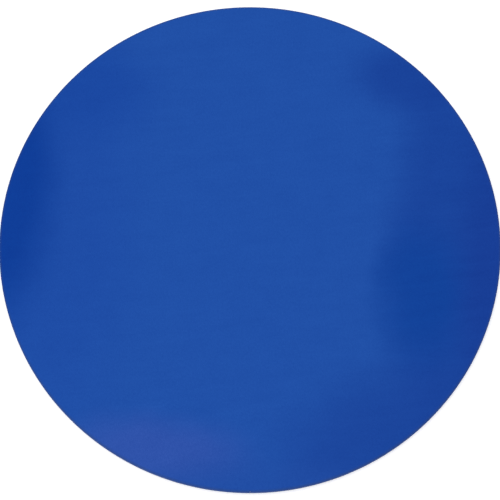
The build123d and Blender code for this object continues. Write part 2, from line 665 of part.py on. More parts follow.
def strap(y):
    """A webbing strap stored flat, pointing in from the rim, with its sewn eye round the pin."""
    x = strap_pivot_x()
    half = STRAP_WIDTH / 2
    z0, z1 = STRAP_PIVOT_Z - STRAP_THICKNESS / 2, STRAP_PIVOT_Z + STRAP_THICKNESS / 2
    tail = block(x, x + STRAP_LENGTH, y - half, y + half, z0, z1)
    tail = fillet(tail.edges().filter_by(Axis.Z).group_by(Axis.X)[-1], STRAP_TAIL_ROUND)
    body = tail + rod(STRAP_EYE_RADIUS, x, STRAP_PIVOT_Z, y - half, y + half)
    ends = (y - half - CUT_OVERLAP, y + half + CUT_OVERLAP)
    return body - rod(STRAP_PIN_RADIUS + RUNNING_CLEARANCE, x, STRAP_PIVOT_Z, *ends)


def strap_hook(y):
    """The hook patch on the strap's outer face, near its tail."""
    end = strap_pivot_x() + STRAP_LENGTH - HOOK_END_INSET
    half = STRAP_WIDTH / 2 - HOOK_SIDE_INSET
    z = STRAP_PIVOT_Z - STRAP_THICKNESS / 2
    patch = block(end - HOOK_LENGTH, end, y - half, y + half, z - HOOK_THICKNESS, z)
    return fillet(patch.edges().filter_by(Axis.Z).group_by(Axis.X)[-1], HOOK_ROUND)


def loop_patch(y):
    """The loop patch under the right half, which the strap's hooks hold when the top is folded."""
    edge = sqrt(FLAT_LINING_RADIUS**2 - (abs(y) + STRAP_WIDTH / 2) ** 2) - PATCH_RIM_INSET
    half = STRAP_WIDTH / 2 + PATCH_SIDE_MARGIN
    patch = block(edge - PATCH_LENGTH, edge, y - half, y + half, Z_LINING - PATCH_THICKNESS, Z_LINING)
    return fillet(patch.edges().filter_by(Axis.Z), PATCH_ROUND)


# ---------------------------------------------------------------- the whole top
def left_screw_places():
    strap_points = [p for y in STRAP_PLACES for p in strap_screw_points(y)]
    return {
        "bolt_guide_screws": underside_places(guide_screw_points()),
        "handle_screws": underside_places(handle_screw_points()),
        "strap_bracket_screws": underside_places(strap_points),
    }


def foot_screw_places(side):
    return [Pos(0, 0, FOOT_WELL_DEPTH) * place for place in foot_places(side)]


def panel_nodes(side, name, plate_places, disc):
    """The board, its layers, its hinge halves, feet and staples, for one half."""
    feet = foot_screw_places(side)
    hinge_places = hinge_screw_places(side)
    lining_holes = placed(clear_hole(PLATE_SCREW, 2 * FOOT_HEIGHT), plate_places)
    lining_holes += placed(clear_hole(FOOT_SCREW, 2 * FOOT_HEIGHT), feet)
    board_holes = placed(pilot(PLATE_SCREW), plate_places) + placed(pilot(FOOT_SCREW), feet)
    board_holes += placed(pilot(HINGE_SCREW), hinge_places)
    body = hinge_body() if side == RIGHT else mirror(hinge_body(), about=Plane.YZ)
    write(f"{name}_board", [board(side, disc, board_holes)])
    write(f"{name}_edge_band", [edge_band(side, disc)])
    write(f"{name}_foam_underlay", [foam(side, disc)])
    write(f"{name}_playing_cloth", [cloth(side, disc)])
    write(f"{name}_lining", [lining(side, lining_holes)])
    write(f"{name}_staples", staples(side))
    write(f"{name}_feet", placed(foot(), foot_places(side)))
    write(f"{name}_foot_screws", placed(screw(FOOT_SCREW), feet))
    write(f"{name}_hinge_bodies", at_hinges([body]))
    write(f"{name}_hinge_pins", at_hinges([hinge_pin(side)]))
    write(f"{name}_hinge_screws", placed(screw(HINGE_SCREW), hinge_places))
    write(f"{name}_hinge_links", at_hinges(links(side)))
    write(f"{name}_guide_pins", at_hinges([guide_pin(side)]))


def main():
    os.makedirs("parts", exist_ok=True)
    disc = core()
    left_places = left_screw_places()
    keeper_places = underside_places(keeper_screw_points())
    panel_nodes(LEFT, "left", [p for group in left_places.values() for p in group], disc)
    panel_nodes(RIGHT, "right", keeper_places, disc)
    for name, places in left_places.items():
        write(name, placed(screw(PLATE_SCREW), places))
    write("keeper_screws", placed(screw(PLATE_SCREW), keeper_places))
    write("bolt_guides", [Pos(0, y, 0) * bolt_guide() for y in BOLT_PLACES])
    write("bolt_keepers", [Pos(0, y, 0) * bolt_keeper() for y in BOLT_PLACES])
    for name, y in zip(("front", "rear"), BOLT_PLACES):
        write(f"{name}_slide_bolt", [Pos(0, y, 0) * slide_bolt()])
    write("handle_bail", [handle_bail()])
    write("handle_sleeve", [handle_sleeve()])
    write("handle_brackets", [handle_bracket(y) for y in handle_eye_centres()])
    write("strap_brackets", [strap_bracket(y) for y in STRAP_PLACES])
    write("strap_pins", [strap_pin(y) for y in STRAP_PLACES])
    write("loop_patches", [loop_patch(y) for y in STRAP_PLACES])
    for name, y in zip(("front", "rear"), STRAP_PLACES):
        write(f"{name}_strap", [strap(y)])
        write(f"{name}_strap_hooks", [strap_hook(y)])


main()
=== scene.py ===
"""Looks of a round folding poker table top: cloth, foam, lining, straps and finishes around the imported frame."""

from math import atan2, cos, hypot, pi, radians, sin

import bmesh
import bpy
from bpy.props import FloatProperty, FloatVectorProperty, IntProperty, PointerProperty
from mathutils import Matrix, Vector, noise


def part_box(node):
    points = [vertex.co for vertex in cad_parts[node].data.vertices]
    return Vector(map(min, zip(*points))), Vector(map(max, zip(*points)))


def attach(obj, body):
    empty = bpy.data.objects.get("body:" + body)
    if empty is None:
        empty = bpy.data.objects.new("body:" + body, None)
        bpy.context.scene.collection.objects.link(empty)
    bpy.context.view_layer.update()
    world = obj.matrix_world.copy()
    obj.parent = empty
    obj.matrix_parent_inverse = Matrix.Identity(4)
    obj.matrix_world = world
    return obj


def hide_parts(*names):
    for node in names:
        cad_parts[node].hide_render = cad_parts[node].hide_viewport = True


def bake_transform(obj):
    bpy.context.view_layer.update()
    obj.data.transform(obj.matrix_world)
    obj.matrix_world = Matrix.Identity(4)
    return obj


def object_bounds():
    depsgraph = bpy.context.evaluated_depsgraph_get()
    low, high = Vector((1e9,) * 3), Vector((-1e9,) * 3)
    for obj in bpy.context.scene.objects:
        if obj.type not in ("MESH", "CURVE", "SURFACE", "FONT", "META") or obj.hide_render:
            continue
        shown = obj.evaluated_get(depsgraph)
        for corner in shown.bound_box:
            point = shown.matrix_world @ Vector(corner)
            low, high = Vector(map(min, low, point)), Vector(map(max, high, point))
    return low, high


bl_info = {
    "name": "Folding poker table top",
    "version": (1, 0, 0),
    "blender": (4, 5, 0),
    "location": "3D View > Sidebar > Table Top",
    "description": "Builds the cloth, lining, straps, finishes and stage of a folding poker table top",
    "category": "Add Mesh",
}

MM = 0.001
UP = Vector((0, 0, 1))
SIDES = {"left": -1, "right": 1}

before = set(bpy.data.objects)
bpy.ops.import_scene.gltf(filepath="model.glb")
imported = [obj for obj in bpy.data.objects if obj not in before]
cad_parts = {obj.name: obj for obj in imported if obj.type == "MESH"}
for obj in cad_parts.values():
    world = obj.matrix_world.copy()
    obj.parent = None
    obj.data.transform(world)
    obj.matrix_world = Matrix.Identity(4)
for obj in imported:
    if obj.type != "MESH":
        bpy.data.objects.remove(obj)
CAD_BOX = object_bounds()
CLOTH_LOW, CLOTH_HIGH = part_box("right_playing_cloth")
FOAM_LOW, FOAM_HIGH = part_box("right_foam_underlay")
BOARD_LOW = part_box("right_board")[0]
LINING_LOW, LINING_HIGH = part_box("right_lining")
TOP_RADIUS = CLOTH_HIGH.x
FOLD_GAP = CLOTH_LOW.x
CLOTH_THICKNESS = CLOTH_HIGH.z - FOAM_HIGH.z
FLAT_SPAN = 1.34                # width of the square that the cloth's UV map covers
MERGE_REACH = 1e-6              # doubled vertices closer than this are merged
CUT_REACH = 1e-7                # vertices closer to a cutting plane than this lie on it
THREAD_RADIUS = 0.32 * MM
STITCH_REACH = 0.42             # half a stitch, as a share of the way between two needle holes
STITCH_FLATNESS = 0.8           # its height as a share of its width


# ---------------------------------------------------------------- sizes and colours
class ClothSettings(bpy.types.PropertyGroup):
    """The playing cloth."""

    colour: FloatVectorProperty(
        name="Cloth colour", description="Royal blue of the felt", subtype="COLOR", size=3, min=0, max=1,
        default=(0.0092, 0.0605, 0.303))
    rim_round: FloatProperty(
        name="Rim round", description="Radius of the cloth over the top edge", default=5 * MM, min=MM,
        subtype="DISTANCE", unit="LENGTH")
    under_round: FloatProperty(
        name="Under round", description="Radius of the cloth under the bottom edge", default=2.5 * MM, min=MM,
        subtype="DISTANCE", unit="LENGTH")
    turn_in: FloatProperty(
        name="Turn-in", description="How far the cloth reaches in under the board", default=30 * MM, min=MM,
        subtype="DISTANCE", unit="LENGTH")
    ripple: FloatProperty(
        name="Drag ripple", description="Depth of the faint drag lines in the cloth", default=0.22 * MM, min=0,
        subtype="DISTANCE", unit="LENGTH")
    drag_angle: FloatProperty(
        name="Drag angle", description="Direction of the drag lines from the X axis", default=radians(5),
        subtype="ANGLE", unit="ROTATION")
    crease_share: FloatProperty(
        name="Crease share", description="Thickness of the pressed crease as a share of the cloth's", default=0.12,
        min=0.01, max=1)
    segments: IntProperty(name="Rim segments", description="Segments round the rim", default=288, min=48)
    grid: FloatProperty(
        name="Cell size", description="Spacing of the mesh over the flat face", default=9 * MM, min=MM,
        subtype="DISTANCE", unit="LENGTH")


class UndersideSettings(bpy.types.PropertyGroup):
    """The lining, feet, straps and grip."""

    lining_colour: FloatVectorProperty(
        name="Lining colour", description="Black non-woven lining", subtype="COLOR", size=3, min=0, max=1,
        default=(0.012, 0.012, 0.014))
    webbing_colour: FloatVectorProperty(
        name="Webbing colour", description="Black strap webbing", subtype="COLOR", size=3, min=0, max=1,
        default=(0.014, 0.014, 0.016))
    thread_colour: FloatVectorProperty(
        name="Thread colour", description="Sewing thread", subtype="COLOR", size=3, min=0, max=1,
        default=(0.055, 0.055, 0.06))
    rubber_colour: FloatVectorProperty(
        name="Rubber colour", description="Moulded feet", subtype="COLOR", size=3, min=0, max=1,
        default=(0.014, 0.014, 0.014))
    webbing_thickness: FloatProperty(
        name="Webbing thickness", description="Thickness of the strap webbing", default=1.2 * MM, min=0.2 * MM,
        subtype="DISTANCE", unit="LENGTH")
    stitch_length: FloatProperty(
        name="Stitch length", description="Length of one stitch", default=2.6 * MM, min=MM, subtype="DISTANCE",
        unit="LENGTH")
    hook_pitch: FloatProperty(
        name="Hook pitch", description="Spacing of the hooks and loops", default=2.1 * MM, min=MM,
        subtype="DISTANCE", unit="LENGTH")
    lining_grid: FloatProperty(
        name="Lining cell size", description="Spacing of the mesh over the lining", default=12 * MM, min=MM,
        subtype="DISTANCE", unit="LENGTH")


class WoodworkSettings(bpy.types.PropertyGroup):
    """The boards and their edge bands."""

    light_wood: FloatVectorProperty(
        name="Light wood", description="Pale plies and grain", subtype="COLOR", size=3, min=0, max=1,
        default=(0.56, 0.37, 0.19))
    dark_wood: FloatVectorProperty(
        name="Dark wood", description="Dark plies and grain", subtype="COLOR", size=3, min=0, max=1,
        default=(0.3, 0.165, 0.07))
    ply: FloatProperty(
        name="Ply thickness", description="Thickness of one ply", default=1.667 * MM, min=0.2 * MM,
        subtype="DISTANCE", unit="LENGTH")


class HardwareSettings(bpy.types.PropertyGroup):
    """Metal finishes."""

    steel: FloatVectorProperty(
        name="Steel", description="Bright drawn steel", subtype="COLOR", size=3, min=0, max=1,
        default=(0.54, 0.54, 0.53))
    nickel: FloatVectorProperty(
        name="Nickel", description="Satin nickel plate", subtype="COLOR", size=3, min=0, max=1,
        default=(0.6, 0.57, 0.51))
    zinc: FloatVectorProperty(
        name="Zinc", description="Zinc plate", subtype="COLOR", size=3, min=0, max=1,
        default=(0.66, 0.67, 0.66))
    brass: FloatVectorProperty(
        name="Brass", description="Machined brass", subtype="COLOR", size=3, min=0, max=1,
        default=(0.74, 0.5, 0.19))


class StageSettings(bpy.types.PropertyGroup):
    """Camera, lights and floor."""

    elevation: FloatProperty(
        name="Camera height angle", description="Camera angle above the floor", default=radians(75.3),
        subtype="ANGLE", unit="ROTATION")
    lens: FloatProperty(
        name="Lens", description="Focal length on a 36 mm sensor", default=200, min=20, subtype="DISTANCE_CAMERA",
        unit="CAMERA")
    fill: FloatProperty(
        name="Fill", description="Share of the view's width that the top fills", default=1.002, min=0.1)
    key: FloatProperty(
        name="Key light", description="Power of the large overhead light", default=46, min=0, subtype="POWER",
        unit="POWER")
    surround: FloatProperty(
        name="Surrounding light", description="Strength of the soft light from all round", default=0.95, min=0)
    floor_glow: FloatProperty(
        name="Floor glow", description="Light that the pale floor gives by itself", default=0.3, min=0)
    floor_colour: FloatVectorProperty(
        name="Floor colour", description="Pale floor", subtype="COLOR", size=3, min=0, max=1,
        default=(0.9, 0.9, 0.9))


# ---------------------------------------------------------------- mesh helpers
def piece_from(bm, name, smooth=True, facing=None):
    """A new piece made of a bmesh, which is freed. A sheet is turned to face a direction."""
    bmesh.ops.recalc_face_normals(bm, faces=bm.faces)
    if facing and sum(face.normal.dot(facing) * face.calc_area() for face in bm.faces) < 0:
        bmesh.ops.reverse_faces(bm, faces=bm.faces)
    for face in bm.faces:
        face.smooth = smooth
    mesh = bpy.data.meshes.new(name)
    bm.to_mesh(mesh)
    bm.free()
    piece = bpy.data.objects.new(name, mesh)
    bpy.context.scene.collection.objects.link(piece)
    return piece


def with_modifier(piece, kind, **values):
    modifier = piece.modifiers.new(kind.title().replace("_", " "), kind)
    for key, value in values.items():
        setattr(modifier, key, value)
    return piece


def bisect(bm, place, normal, clear=False):
    """Cuts the whole bmesh by a plane, and clears what lies behind the normal if asked."""
    geometry = [*bm.verts, *bm.edges, *bm.faces]
    return bmesh.ops.bisect_plane(
        bm, geom=geometry, dist=CUT_REACH, plane_co=place, plane_no=normal, clear_inner=clear)


def cut_in_cells(bm, reach, cell):
    """Cuts a flat face into square cells, so that it can carry low relief."""
    count = int(reach / cell)
    for axis in (Vector((1, 0, 0)), Vector((0, 1, 0))):
        for k in range(-count, count + 1):
            bisect(bm, axis * (k + 0.5) * cell, axis)


def open_edges(bm):
    return [edge for edge in bm.edges if edge.is_boundary]


def verts_in(items):
    return [item for item in items if isinstance(item, bmesh.types.BMVert)]


def edges_in(items):
    return [item for item in items if isinstance(item, bmesh.types.BMEdge)]


def from_middle(place):
    """How far a place is from the upright line through the middle."""
    return hypot(place.x, place.y)


def clamped(value):
    return min(max(value, 0), 1)


def draw_out(bm, edges, radius, height):
    """Extrudes a round edge loop, and carries the new loop to a radius and a height."""
    made = bmesh.ops.extrude_edge_only(bm, edges=edges)["geom"]
    verts = verts_in(made)
    for vert in verts:
        share = radius / from_middle(vert.co)
        vert.co = Vector((vert.co.x * share, vert.co.y * share, height))
    return edges_in(made), verts


def closed_half(bm, side):
    """Keeps one half of a closed solid, up to the fold gap, and closes the cut."""
    cut = bisect(bm, Vector((side * FOLD_GAP, 0, 0)), Vector((side, 0, 0)), clear=True)["geom_cut"]
    bmesh.ops.holes_fill(bm, edges=edges_in(cut), sides=0)


def turned_piece(bm, outline, centre, axis, steps):
    """Spins an open outline of (radius, height) points once round an axis through a centre."""
    side = axis.orthogonal().normalized()
    verts = [bm.verts.new(centre + side * r + axis * h) for r, h in outline]
    edges = [bm.edges.new(pair) for pair in zip(verts, verts[1:])]
    bmesh.ops.spin(
        bm, geom=[*verts, *edges], cent=centre, axis=axis, dvec=(0, 0, 0), angle=2 * pi, steps=steps,
        use_merge=True)
    bmesh.ops.remove_doubles(bm, verts=bm.verts, dist=MERGE_REACH)


def islands(node):
    """The boxes of a CAD node's separate solids, as (lowest, highest) corners."""
    bm = bmesh.new()
    bm.from_mesh(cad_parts[node].data)
    bmesh.ops.remove_doubles(bm, verts=bm.verts, dist=MERGE_REACH)
    waiting, found = set(bm.verts), []
    while waiting:
        grown, points = [waiting.pop()], []
        while grown:
            vert = grown.pop()
            points.append(vert.co.copy())
            for edge in vert.link_edges:
                other = edge.other_vert(vert)
                if other in waiting:
                    waiting.remove(other)
                    grown.append(other)
        found.append(tuple(Vector(pick(co[k] for co in points) for k in range(3)) for pick in (min, max)))
    bm.free()
    return sorted(found, key=lambda box: tuple(box[0]))


def add_stitch(bm, start, end, lift):
    """One sewn stitch between two points, slightly proud of the cloth."""
    along = end - start
    made = bmesh.ops.create_icosphere(bm, subdivisions=1, radius=1)["verts"]
    turn = along.to_track_quat("X", "Z").to_matrix().to_4x4()
    size = Matrix.Diagonal((along.length * STITCH_REACH, THREAD_RADIUS, THREAD_RADIUS * STITCH_FLATNESS, 1))
    bmesh.ops.transform(bm, verts=made, matrix=Matrix.Translation((start + end) / 2 + UP * lift) @ turn @ size)


def sew(bm, corners, length, lift):
    """Rows of stitches along a path of corners."""
    for a, b in zip(corners, corners[1:]):
        count = max(1, round((b - a).length / length))
        step = (b - a) / count
        for k in range(count):
            add_stitch(bm, a + step * k, a + step * (k + 1), lift)


def sewn_box(low, high, z, lift, settings, inset=0.0, crossed=False):
    """A bmesh of stitches round a rectangle, with a cross in it if asked."""
    bm = bmesh.new()
    x0, x1, y0, y1 = low.x + inset, high.x - inset, low.y + inset, high.y - inset
    a, b, c, d = (Vector((x, y, z)) for x, y in ((x0, y0), (x1, y0), (x1, y1), (x0, y1)))
    paths = [[a, b, c, d, a]] + ([[a, c], [b, d]] if crossed else [])
    for path in paths:
        sew(bm, path, settings.stitch_length, lift)
    return bm


def add_copy(whole, part):
    """Adds a bmesh to another, and frees it."""
    mesh = bpy.data.meshes.new("part")
    part.to_mesh(mesh)
    part.free()
    whole.from_mesh(mesh)
    bpy.data.meshes.remove(mesh)


def eased(piece, width, angle):
    """A piece whose sharp edges are rounded over when it is shown."""
    return with_modifier(
        piece, "BEVEL", width=width, segments=2, limit_method="ANGLE", angle_limit=radians(angle))


# ---------------------------------------------------------------- node helpers
def put(tree, kind, values=None, **options):
    """A new shader node, with its options and its sockets' values or links."""
    node = tree.nodes.new(kind)
    for key, value in options.items():
        setattr(node, key, value)
    for key, value in (values or {}).items():
        if isinstance(value, bpy.types.NodeSocket):
            tree.links.new(value, node.inputs[key])
        else:
            node.inputs[key].default_value = value
    return node


def maths(tree, operation, *inputs, clamp=False):
    node = put(tree, "ShaderNodeMath", dict(enumerate(inputs)), operation=operation, use_clamp=clamp)
    return node.outputs[0]


def vector_maths(tree, operation, first, second=None, output="Vector"):
    values = {0: first} if second is None else {0: first, 1: second}
    return put(tree, "ShaderNodeVectorMath", values, operation=operation).outputs[output]


def weighed(tree, first, second, share, clamp=False):
    """Two values added, the first with a share of the weight and the second with the rest."""
    parts = (maths(tree, "MULTIPLY", value, part) for value, part in ((first, share), (second, 1 - share)))
    return maths(tree, "ADD", *parts, clamp=clamp)


def rgba(colour):
    """What a colour socket takes: another socket, or three numbers and a one."""
    return colour if isinstance(colour, bpy.types.NodeSocket) else (*colour, 1)


def blend_colours(tree, factor, first, second, kind="MIX"):
    values = {0: factor, 6: rgba(first), 7: rgba(second)}
    return put(tree, "ShaderNodeMix", values, data_type="RGBA", blend_type=kind).outputs[2]


def mapped(tree, place, scale=(1, 1, 1), turn=0.0, move=(0, 0, 0)):
    """A place vector moved, turned about Z and scaled."""
    values = {"Vector": place, "Location": move, "Rotation": (0, 0, turn), "Scale": scale}
    return put(tree, "ShaderNodeMapping", values).outputs[0]


def noise_of(tree, place, scale, detail=3.0, rough=0.5):
    values = {"Vector": place, "Scale": scale, "Detail": detail, "Roughness": rough}
    return put(tree, "ShaderNodeTexNoise", values).outputs[0]


def cells_of(tree, place, scale, jitter=1.0):
    """Distance from the nearest of many scattered points."""
    values = {"Vector": place, "Scale": scale, "Randomness": jitter}
    return put(tree, "ShaderNodeTexVoronoi", values).outputs[0]


def ranged(tree, value, low, high, to_low=0.0, to_high=1.0, smooth=False):
    kind = "SMOOTHSTEP" if smooth else "LINEAR"
    values = {0: value, 1: low, 2: high, 3: to_low, 4: to_high}
    return put(tree, "ShaderNodeMapRange", values, interpolation_type=kind).outputs[0]


def new_group(name, inputs, outputs):
    """An empty node group with named sockets, given as {name: socket kind}."""
    tree = bpy.data.node_groups.new(name, "ShaderNodeTree")
    for direction, sockets in (("INPUT", inputs), ("OUTPUT", outputs)):
        for key, kind in sockets.items():
            tree.interface.new_socket(name=key, in_out=direction, socket_type=f"NodeSocket{kind}")
    return tree, tree.nodes.new("NodeGroupInput").outputs, tree.nodes.new("NodeGroupOutput").inputs


def use(tree, group, **values):
    """A shared effect placed in a tree, and built if this is its first use. Underscores stand for spaces."""
    if group not in bpy.data.node_groups:
        EFFECTS[group]()
    node = tree.nodes.new("ShaderNodeGroup")
    node.node_tree = bpy.data.node_groups[group]
    for key, value in values.items():
        socket = node.inputs[key.replace("_", " ")]
        if isinstance(value, bpy.types.NodeSocket):
            tree.links.new(value, socket)
        else:
            socket.default_value = value
    return node.outputs


def new_material(name, **shader):
    """A material whose Principled BSDF has its plain sockets set, and its tree."""
    material = bpy.data.materials.new(name)
    material.use_nodes = True
    tree = material.node_tree
    bsdf = tree.nodes["Principled BSDF"]
    for key, value in shader.items():
        bsdf.inputs[key.replace("_", " ")].default_value = value
    return material, tree


def place_of(tree):
    return put(tree, "ShaderNodeTexCoord").outputs["Object"]


def bump(tree, height, distance, strength=1.0):
    values = {"Height": height, "Distance": distance, "Strength": strength}
    return put(tree, "ShaderNodeBump", values).outputs[0]


def finished(material, colour, rough, normal=None):
    """The material, once what changes over the surface is linked to its shader."""
    tree = material.node_tree
    for key, value in {"Base Color": colour, "Roughness": rough, "Normal": normal}.items():
        if value is not None:
            tree.links.new(value, tree.nodes["Principled BSDF"].inputs[key])
    return material


def marked(tree, mask, share, colour, mark):
    """A colour with another laid over it where a mask is, as strongly as a share."""
    return blend_colours(tree, maths(tree, "MULTIPLY", mask, share), colour, mark)


# ---------------------------------------------------------------- effects that materials share
def soft_patch_group():
    """A soft-edged oval patch, warped by a slow noise."""
    inputs = {"Place": "Vector", "Centre": "Vector", "Reach": "Vector", "Softness": "Float", "Warp": "Float"}
    tree, given, out = new_group("Soft patch", inputs, {"Mask": "Float"})
    drift = put(tree, "ShaderNodeTexNoise", {"Vector": given["Place"], "Scale": 4.5, "Detail": 4.0}).outputs[1]
    centred = vector_maths(tree, "SUBTRACT", drift, (0.5, 0.5, 0.5))
    shift = put(tree, "ShaderNodeVectorMath", {0: centred, "Scale": given["Warp"]}, operation="SCALE").outputs[0]
    away = vector_maths(tree, "SUBTRACT", vector_maths(tree, "ADD", given["Place"], shift), given["Centre"])
    length = vector_maths(tree, "LENGTH", vector_maths(tree, "DIVIDE", away, given["Reach"]), output="Value")
    inner = maths(tree, "SUBTRACT", 1.0, given["Softness"])
    outer = maths(tree, "ADD", 1.0, given["Softness"])
    tree.links.new(ranged(tree, length, inner, outer, 1.0, 0.0, smooth=True), out["Mask"])


def drag_lines_group():
    """Long faint lines dragged across cloth."""
    inputs = {"Place": "Vector", "Angle": "Float", "Density": "Float"}
    tree, given, out = new_group("Drag lines", inputs, {"Value": "Float"})
    turn = put(tree, "ShaderNodeVectorRotate", {"Vector": given["Place"], "Angle": given["Angle"]},
               rotation_type="Z_AXIS").outputs[0]
    long = mapped(tree, turn, scale=(4.5, 38, 1))
    short = mapped(tree, turn, scale=(18, 95, 1), move=(3, 1, 0))
    first = noise_of(tree, long, given["Density"], 3.0, 0.6)
    second = noise_of(tree, short, given["Density"], 3.0, 0.6)
    tree.links.new(ranged(tree, weighed(tree, first, second, 0.65), 0.36, 0.64), out["Value"])


def nap_group():
    """Short brushed fibres of felt, lying two ways, and the tufts that they gather in."""
    inputs = {"Place": "Vector", "Fibre": "Float"}
    tree, given, out = new_group("Felt nap", inputs, {"Fibres": "Float", "Tufts": "Float"})
    ways = [mapped(tree, given["Place"], scale=(0.45, 2.0, 1.0), turn=turn) for turn in (0.35, -1.1)]
    fibres = maths(tree, "ADD", *(noise_of(tree, way, given["Fibre"], 3.0, 0.6) for way in ways))
    tree.links.new(maths(tree, "MULTIPLY", fibres, 0.5), out["Fibres"])
    tufts = noise_of(tree, given["Place"], maths(tree, "MULTIPLY", given["Fibre"], 0.17), 4.0, 0.6)
    tree.links.new(tufts, out["Tufts"])


def weave_group():
    """Plain woven threads: a height, and a mask of the gaps between threads, where materials paint shade."""
    inputs = {"Place": "Vector", "Threads": "Float"}
    tree, given, out = new_group("Weave", inputs, {"Height": "Float", "Gap": "Float"})
    axes = put(tree, "ShaderNodeSeparateXYZ", {0: given["Place"]}).outputs
    waves = []
    for name in ("X", "Y"):
        phase = maths(tree, "MULTIPLY", axes[name], maths(tree, "MULTIPLY", given["Threads"], pi))
        waves.append(maths(tree, "ABSOLUTE", maths(tree, "SINE", phase)))
    over = maths(tree, "MAXIMUM", waves[0], waves[1])
    height = maths(tree, "MULTIPLY", over, maths(tree, "ADD", maths(tree, "MINIMUM", waves[0], waves[1]), 0.35))
    tree.links.new(height, out["Height"])
    tree.links.new(ranged(tree, height, 0.0, 0.5, 1.0, 0.0), out["Gap"])


def wood_group():
    """Wood grain that runs along Y."""
    inputs = {"Place": "Vector", "Light": "Color", "Dark": "Color", "Scale": "Float"}
    tree, given, out = new_group("Wood grain", inputs, {"Color": "Color", "Height": "Float"})
    long = mapped(tree, given["Place"], scale=(9, 0.9, 9))
    rings = noise_of(tree, long, given["Scale"], 4.0, 0.6)
    bands = maths(tree, "FRACT", maths(tree, "MULTIPLY", rings, 9.0))
    pores = noise_of(tree, mapped(tree, given["Place"], scale=(160, 6, 160)), given["Scale"], 2.0, 0.6)
    mask = weighed(tree, bands, pores, 0.55, clamp=True)
    tree.links.new(blend_colours(tree, mask, given["Light"], given["Dark"]), out["Color"])
    tree.links.new(maths(tree, "SUBTRACT", 1.0, pores), out["Height"])


def plies_group():
    """Layers of plywood seen on a cut edge, by height above a level."""
    inputs = {"Place": "Vector", "Level": "Float", "Ply": "Float"}
    tree, given, out = new_group("Plies", inputs, {"Dark": "Float", "Glue": "Float"})
    level = put(tree, "ShaderNodeSeparateXYZ", {0: given["Place"]}).outputs["Z"]
    count = maths(tree, "DIVIDE", maths(tree, "SUBTRACT", level, given["Level"]), given["Ply"])
    tree.links.new(maths(tree, "MODULO", maths(tree, "FLOOR", count), 2.0), out["Dark"])
    near = maths(tree, "ABSOLUTE", maths(tree, "SUBTRACT", maths(tree, "FRACT", count), 0.5))
    tree.links.new(ranged(tree, near, 0.44, 0.5), out["Glue"])


def brushed_group():
    """Fine scratches along one direction of a metal part."""
    inputs = {"Place": "Vector", "Stretch": "Vector", "Base": "Float", "Spread": "Float"}
    tree, given, out = new_group("Brushed metal", inputs, {"Roughness": "Float", "Height": "Float"})
    stretched = vector_maths(tree, "MULTIPLY", given["Place"], given["Stretch"])
    lines = noise_of(tree, stretched, 1.0, 4.0, 0.65)
    smears = noise_of(tree, given["Place"], 90.0, 3.0, 0.6)
    both = weighed(tree, lines, smears, 0.6)
    spread = maths(tree, "MULTIPLY", maths(tree, "SUBTRACT", both, 0.5), given["Spread"])
    tree.links.new(maths(tree, "ADD", given["Base"], spread, clamp=True), out["Roughness"])
    tree.links.new(lines, out["Height"])


def wear_group():
    """Scattered scuffs and handling marks."""
    inputs = {"Place": "Vector", "Scale": "Float", "Amount": "Float"}
    tree, given, out = new_group("Handling wear", inputs, {"Mask": "Float"})
    marks = noise_of(tree, given["Place"], given["Scale"], 6.0, 0.7)
    edge = maths(tree, "SUBTRACT", 0.72, maths(tree, "MULTIPLY", given["Amount"], 0.2))
    tree.links.new(ranged(tree, marks, edge, maths(tree, "ADD", edge, 0.08), smooth=True), out["Mask"])


def dust_group():
    """Lint and dust that settles on dark cloth and rubber."""
    inputs = {"Place": "Vector", "Amount": "Float"}
    tree, given, out = new_group("Dust", inputs, {"Mask": "Float"})
    lint = ranged(tree, cells_of(tree, given["Place"], 240.0), 0.0, 0.1, 1.0, 0.0)
    cloud = ranged(tree, noise_of(tree, given["Place"], 9.0, 5.0, 0.65), 0.42, 0.75)
    both = maths(tree, "ADD", maths(tree, "MULTIPLY", lint, cloud), maths(tree, "MULTIPLY", cloud, 0.1))
    tree.links.new(maths(tree, "MULTIPLY", both, given["Amount"], clamp=True), out["Mask"])


# ---------------------------------------------------------------- materials
# Patches of painted shade, and one of painted light, on the cloth's flat cut: centre, reach, softness, warp,
# colour, strength.
PAINTED_LIGHT_AND_SHADE_PATCHES = {
    "mid left shade": ((-0.5, 0.1), (0.2, 0.5), 0.55, 0.1, (0.0072, 0.052, 0.293), 0.7),
    "upper left shade": ((-0.42, 0.4), (0.16, 0.12), 0.6, 0.1, (0.005, 0.046, 0.278), 0.7),
    "left edge shade": ((-0.63, 0.15), (0.15, 0.31), 0.42, 0.05, (0.0012, 0.034, 0.243), 0.95),
    "right shade": ((0.72, -0.05), (0.37, 0.75), 0.17, 0.09, (0.0052, 0.0415, 0.255), 0.9),
    "lower right shade": ((0.5, -0.56), (0.4, 0.27), 0.3, 0.12, (0.0058, 0.042, 0.255), 0.8),
    "right deep shade": ((0.42, -0.13), (0.09, 0.15), 0.6, 0.12, (0.0018, 0.04, 0.25), 0.8),
    "right edge purple shade": ((0.62, -0.08), (0.11, 0.36), 0.5, 0.08, (0.0045, 0.033, 0.232), 0.75),
    "upper right shade": ((0.4, 0.43), (0.13, 0.08), 0.6, 0.08, (0.0042, 0.036, 0.24), 0.75),
    "lower left light": ((-0.24, -0.52), (0.19, 0.08), 0.6, 0.1, (0.0215, 0.065, 0.315), 0.85),
    "lower edge shade": ((0.1, -0.6), (0.35, 0.05), 0.7, 0.08, (0.0095, 0.054, 0.285), 0.6),
}
# Painted shade where the cloth turns down round the rim and its side faces away from the light: distances from the
# middle, colour, strength.
EDGE_SHADE_REACH = (0.603, 0.6095)
EDGE_SHADE = (0.02, 0.05, 0.165)
EDGE_SHADE_STRENGTH = 0.62
NAP_FIBRE = 1100.0
PAINTED_NAP_LIGHT, PAINTED_NAP_SHADE = (1.45, 1.25, 1.12), (0.6, 0.76, 0.86)   # lighter and darker copies of the cloth's colour: painted light and shade of the nap and drag lines, and the felt's own uneven tone
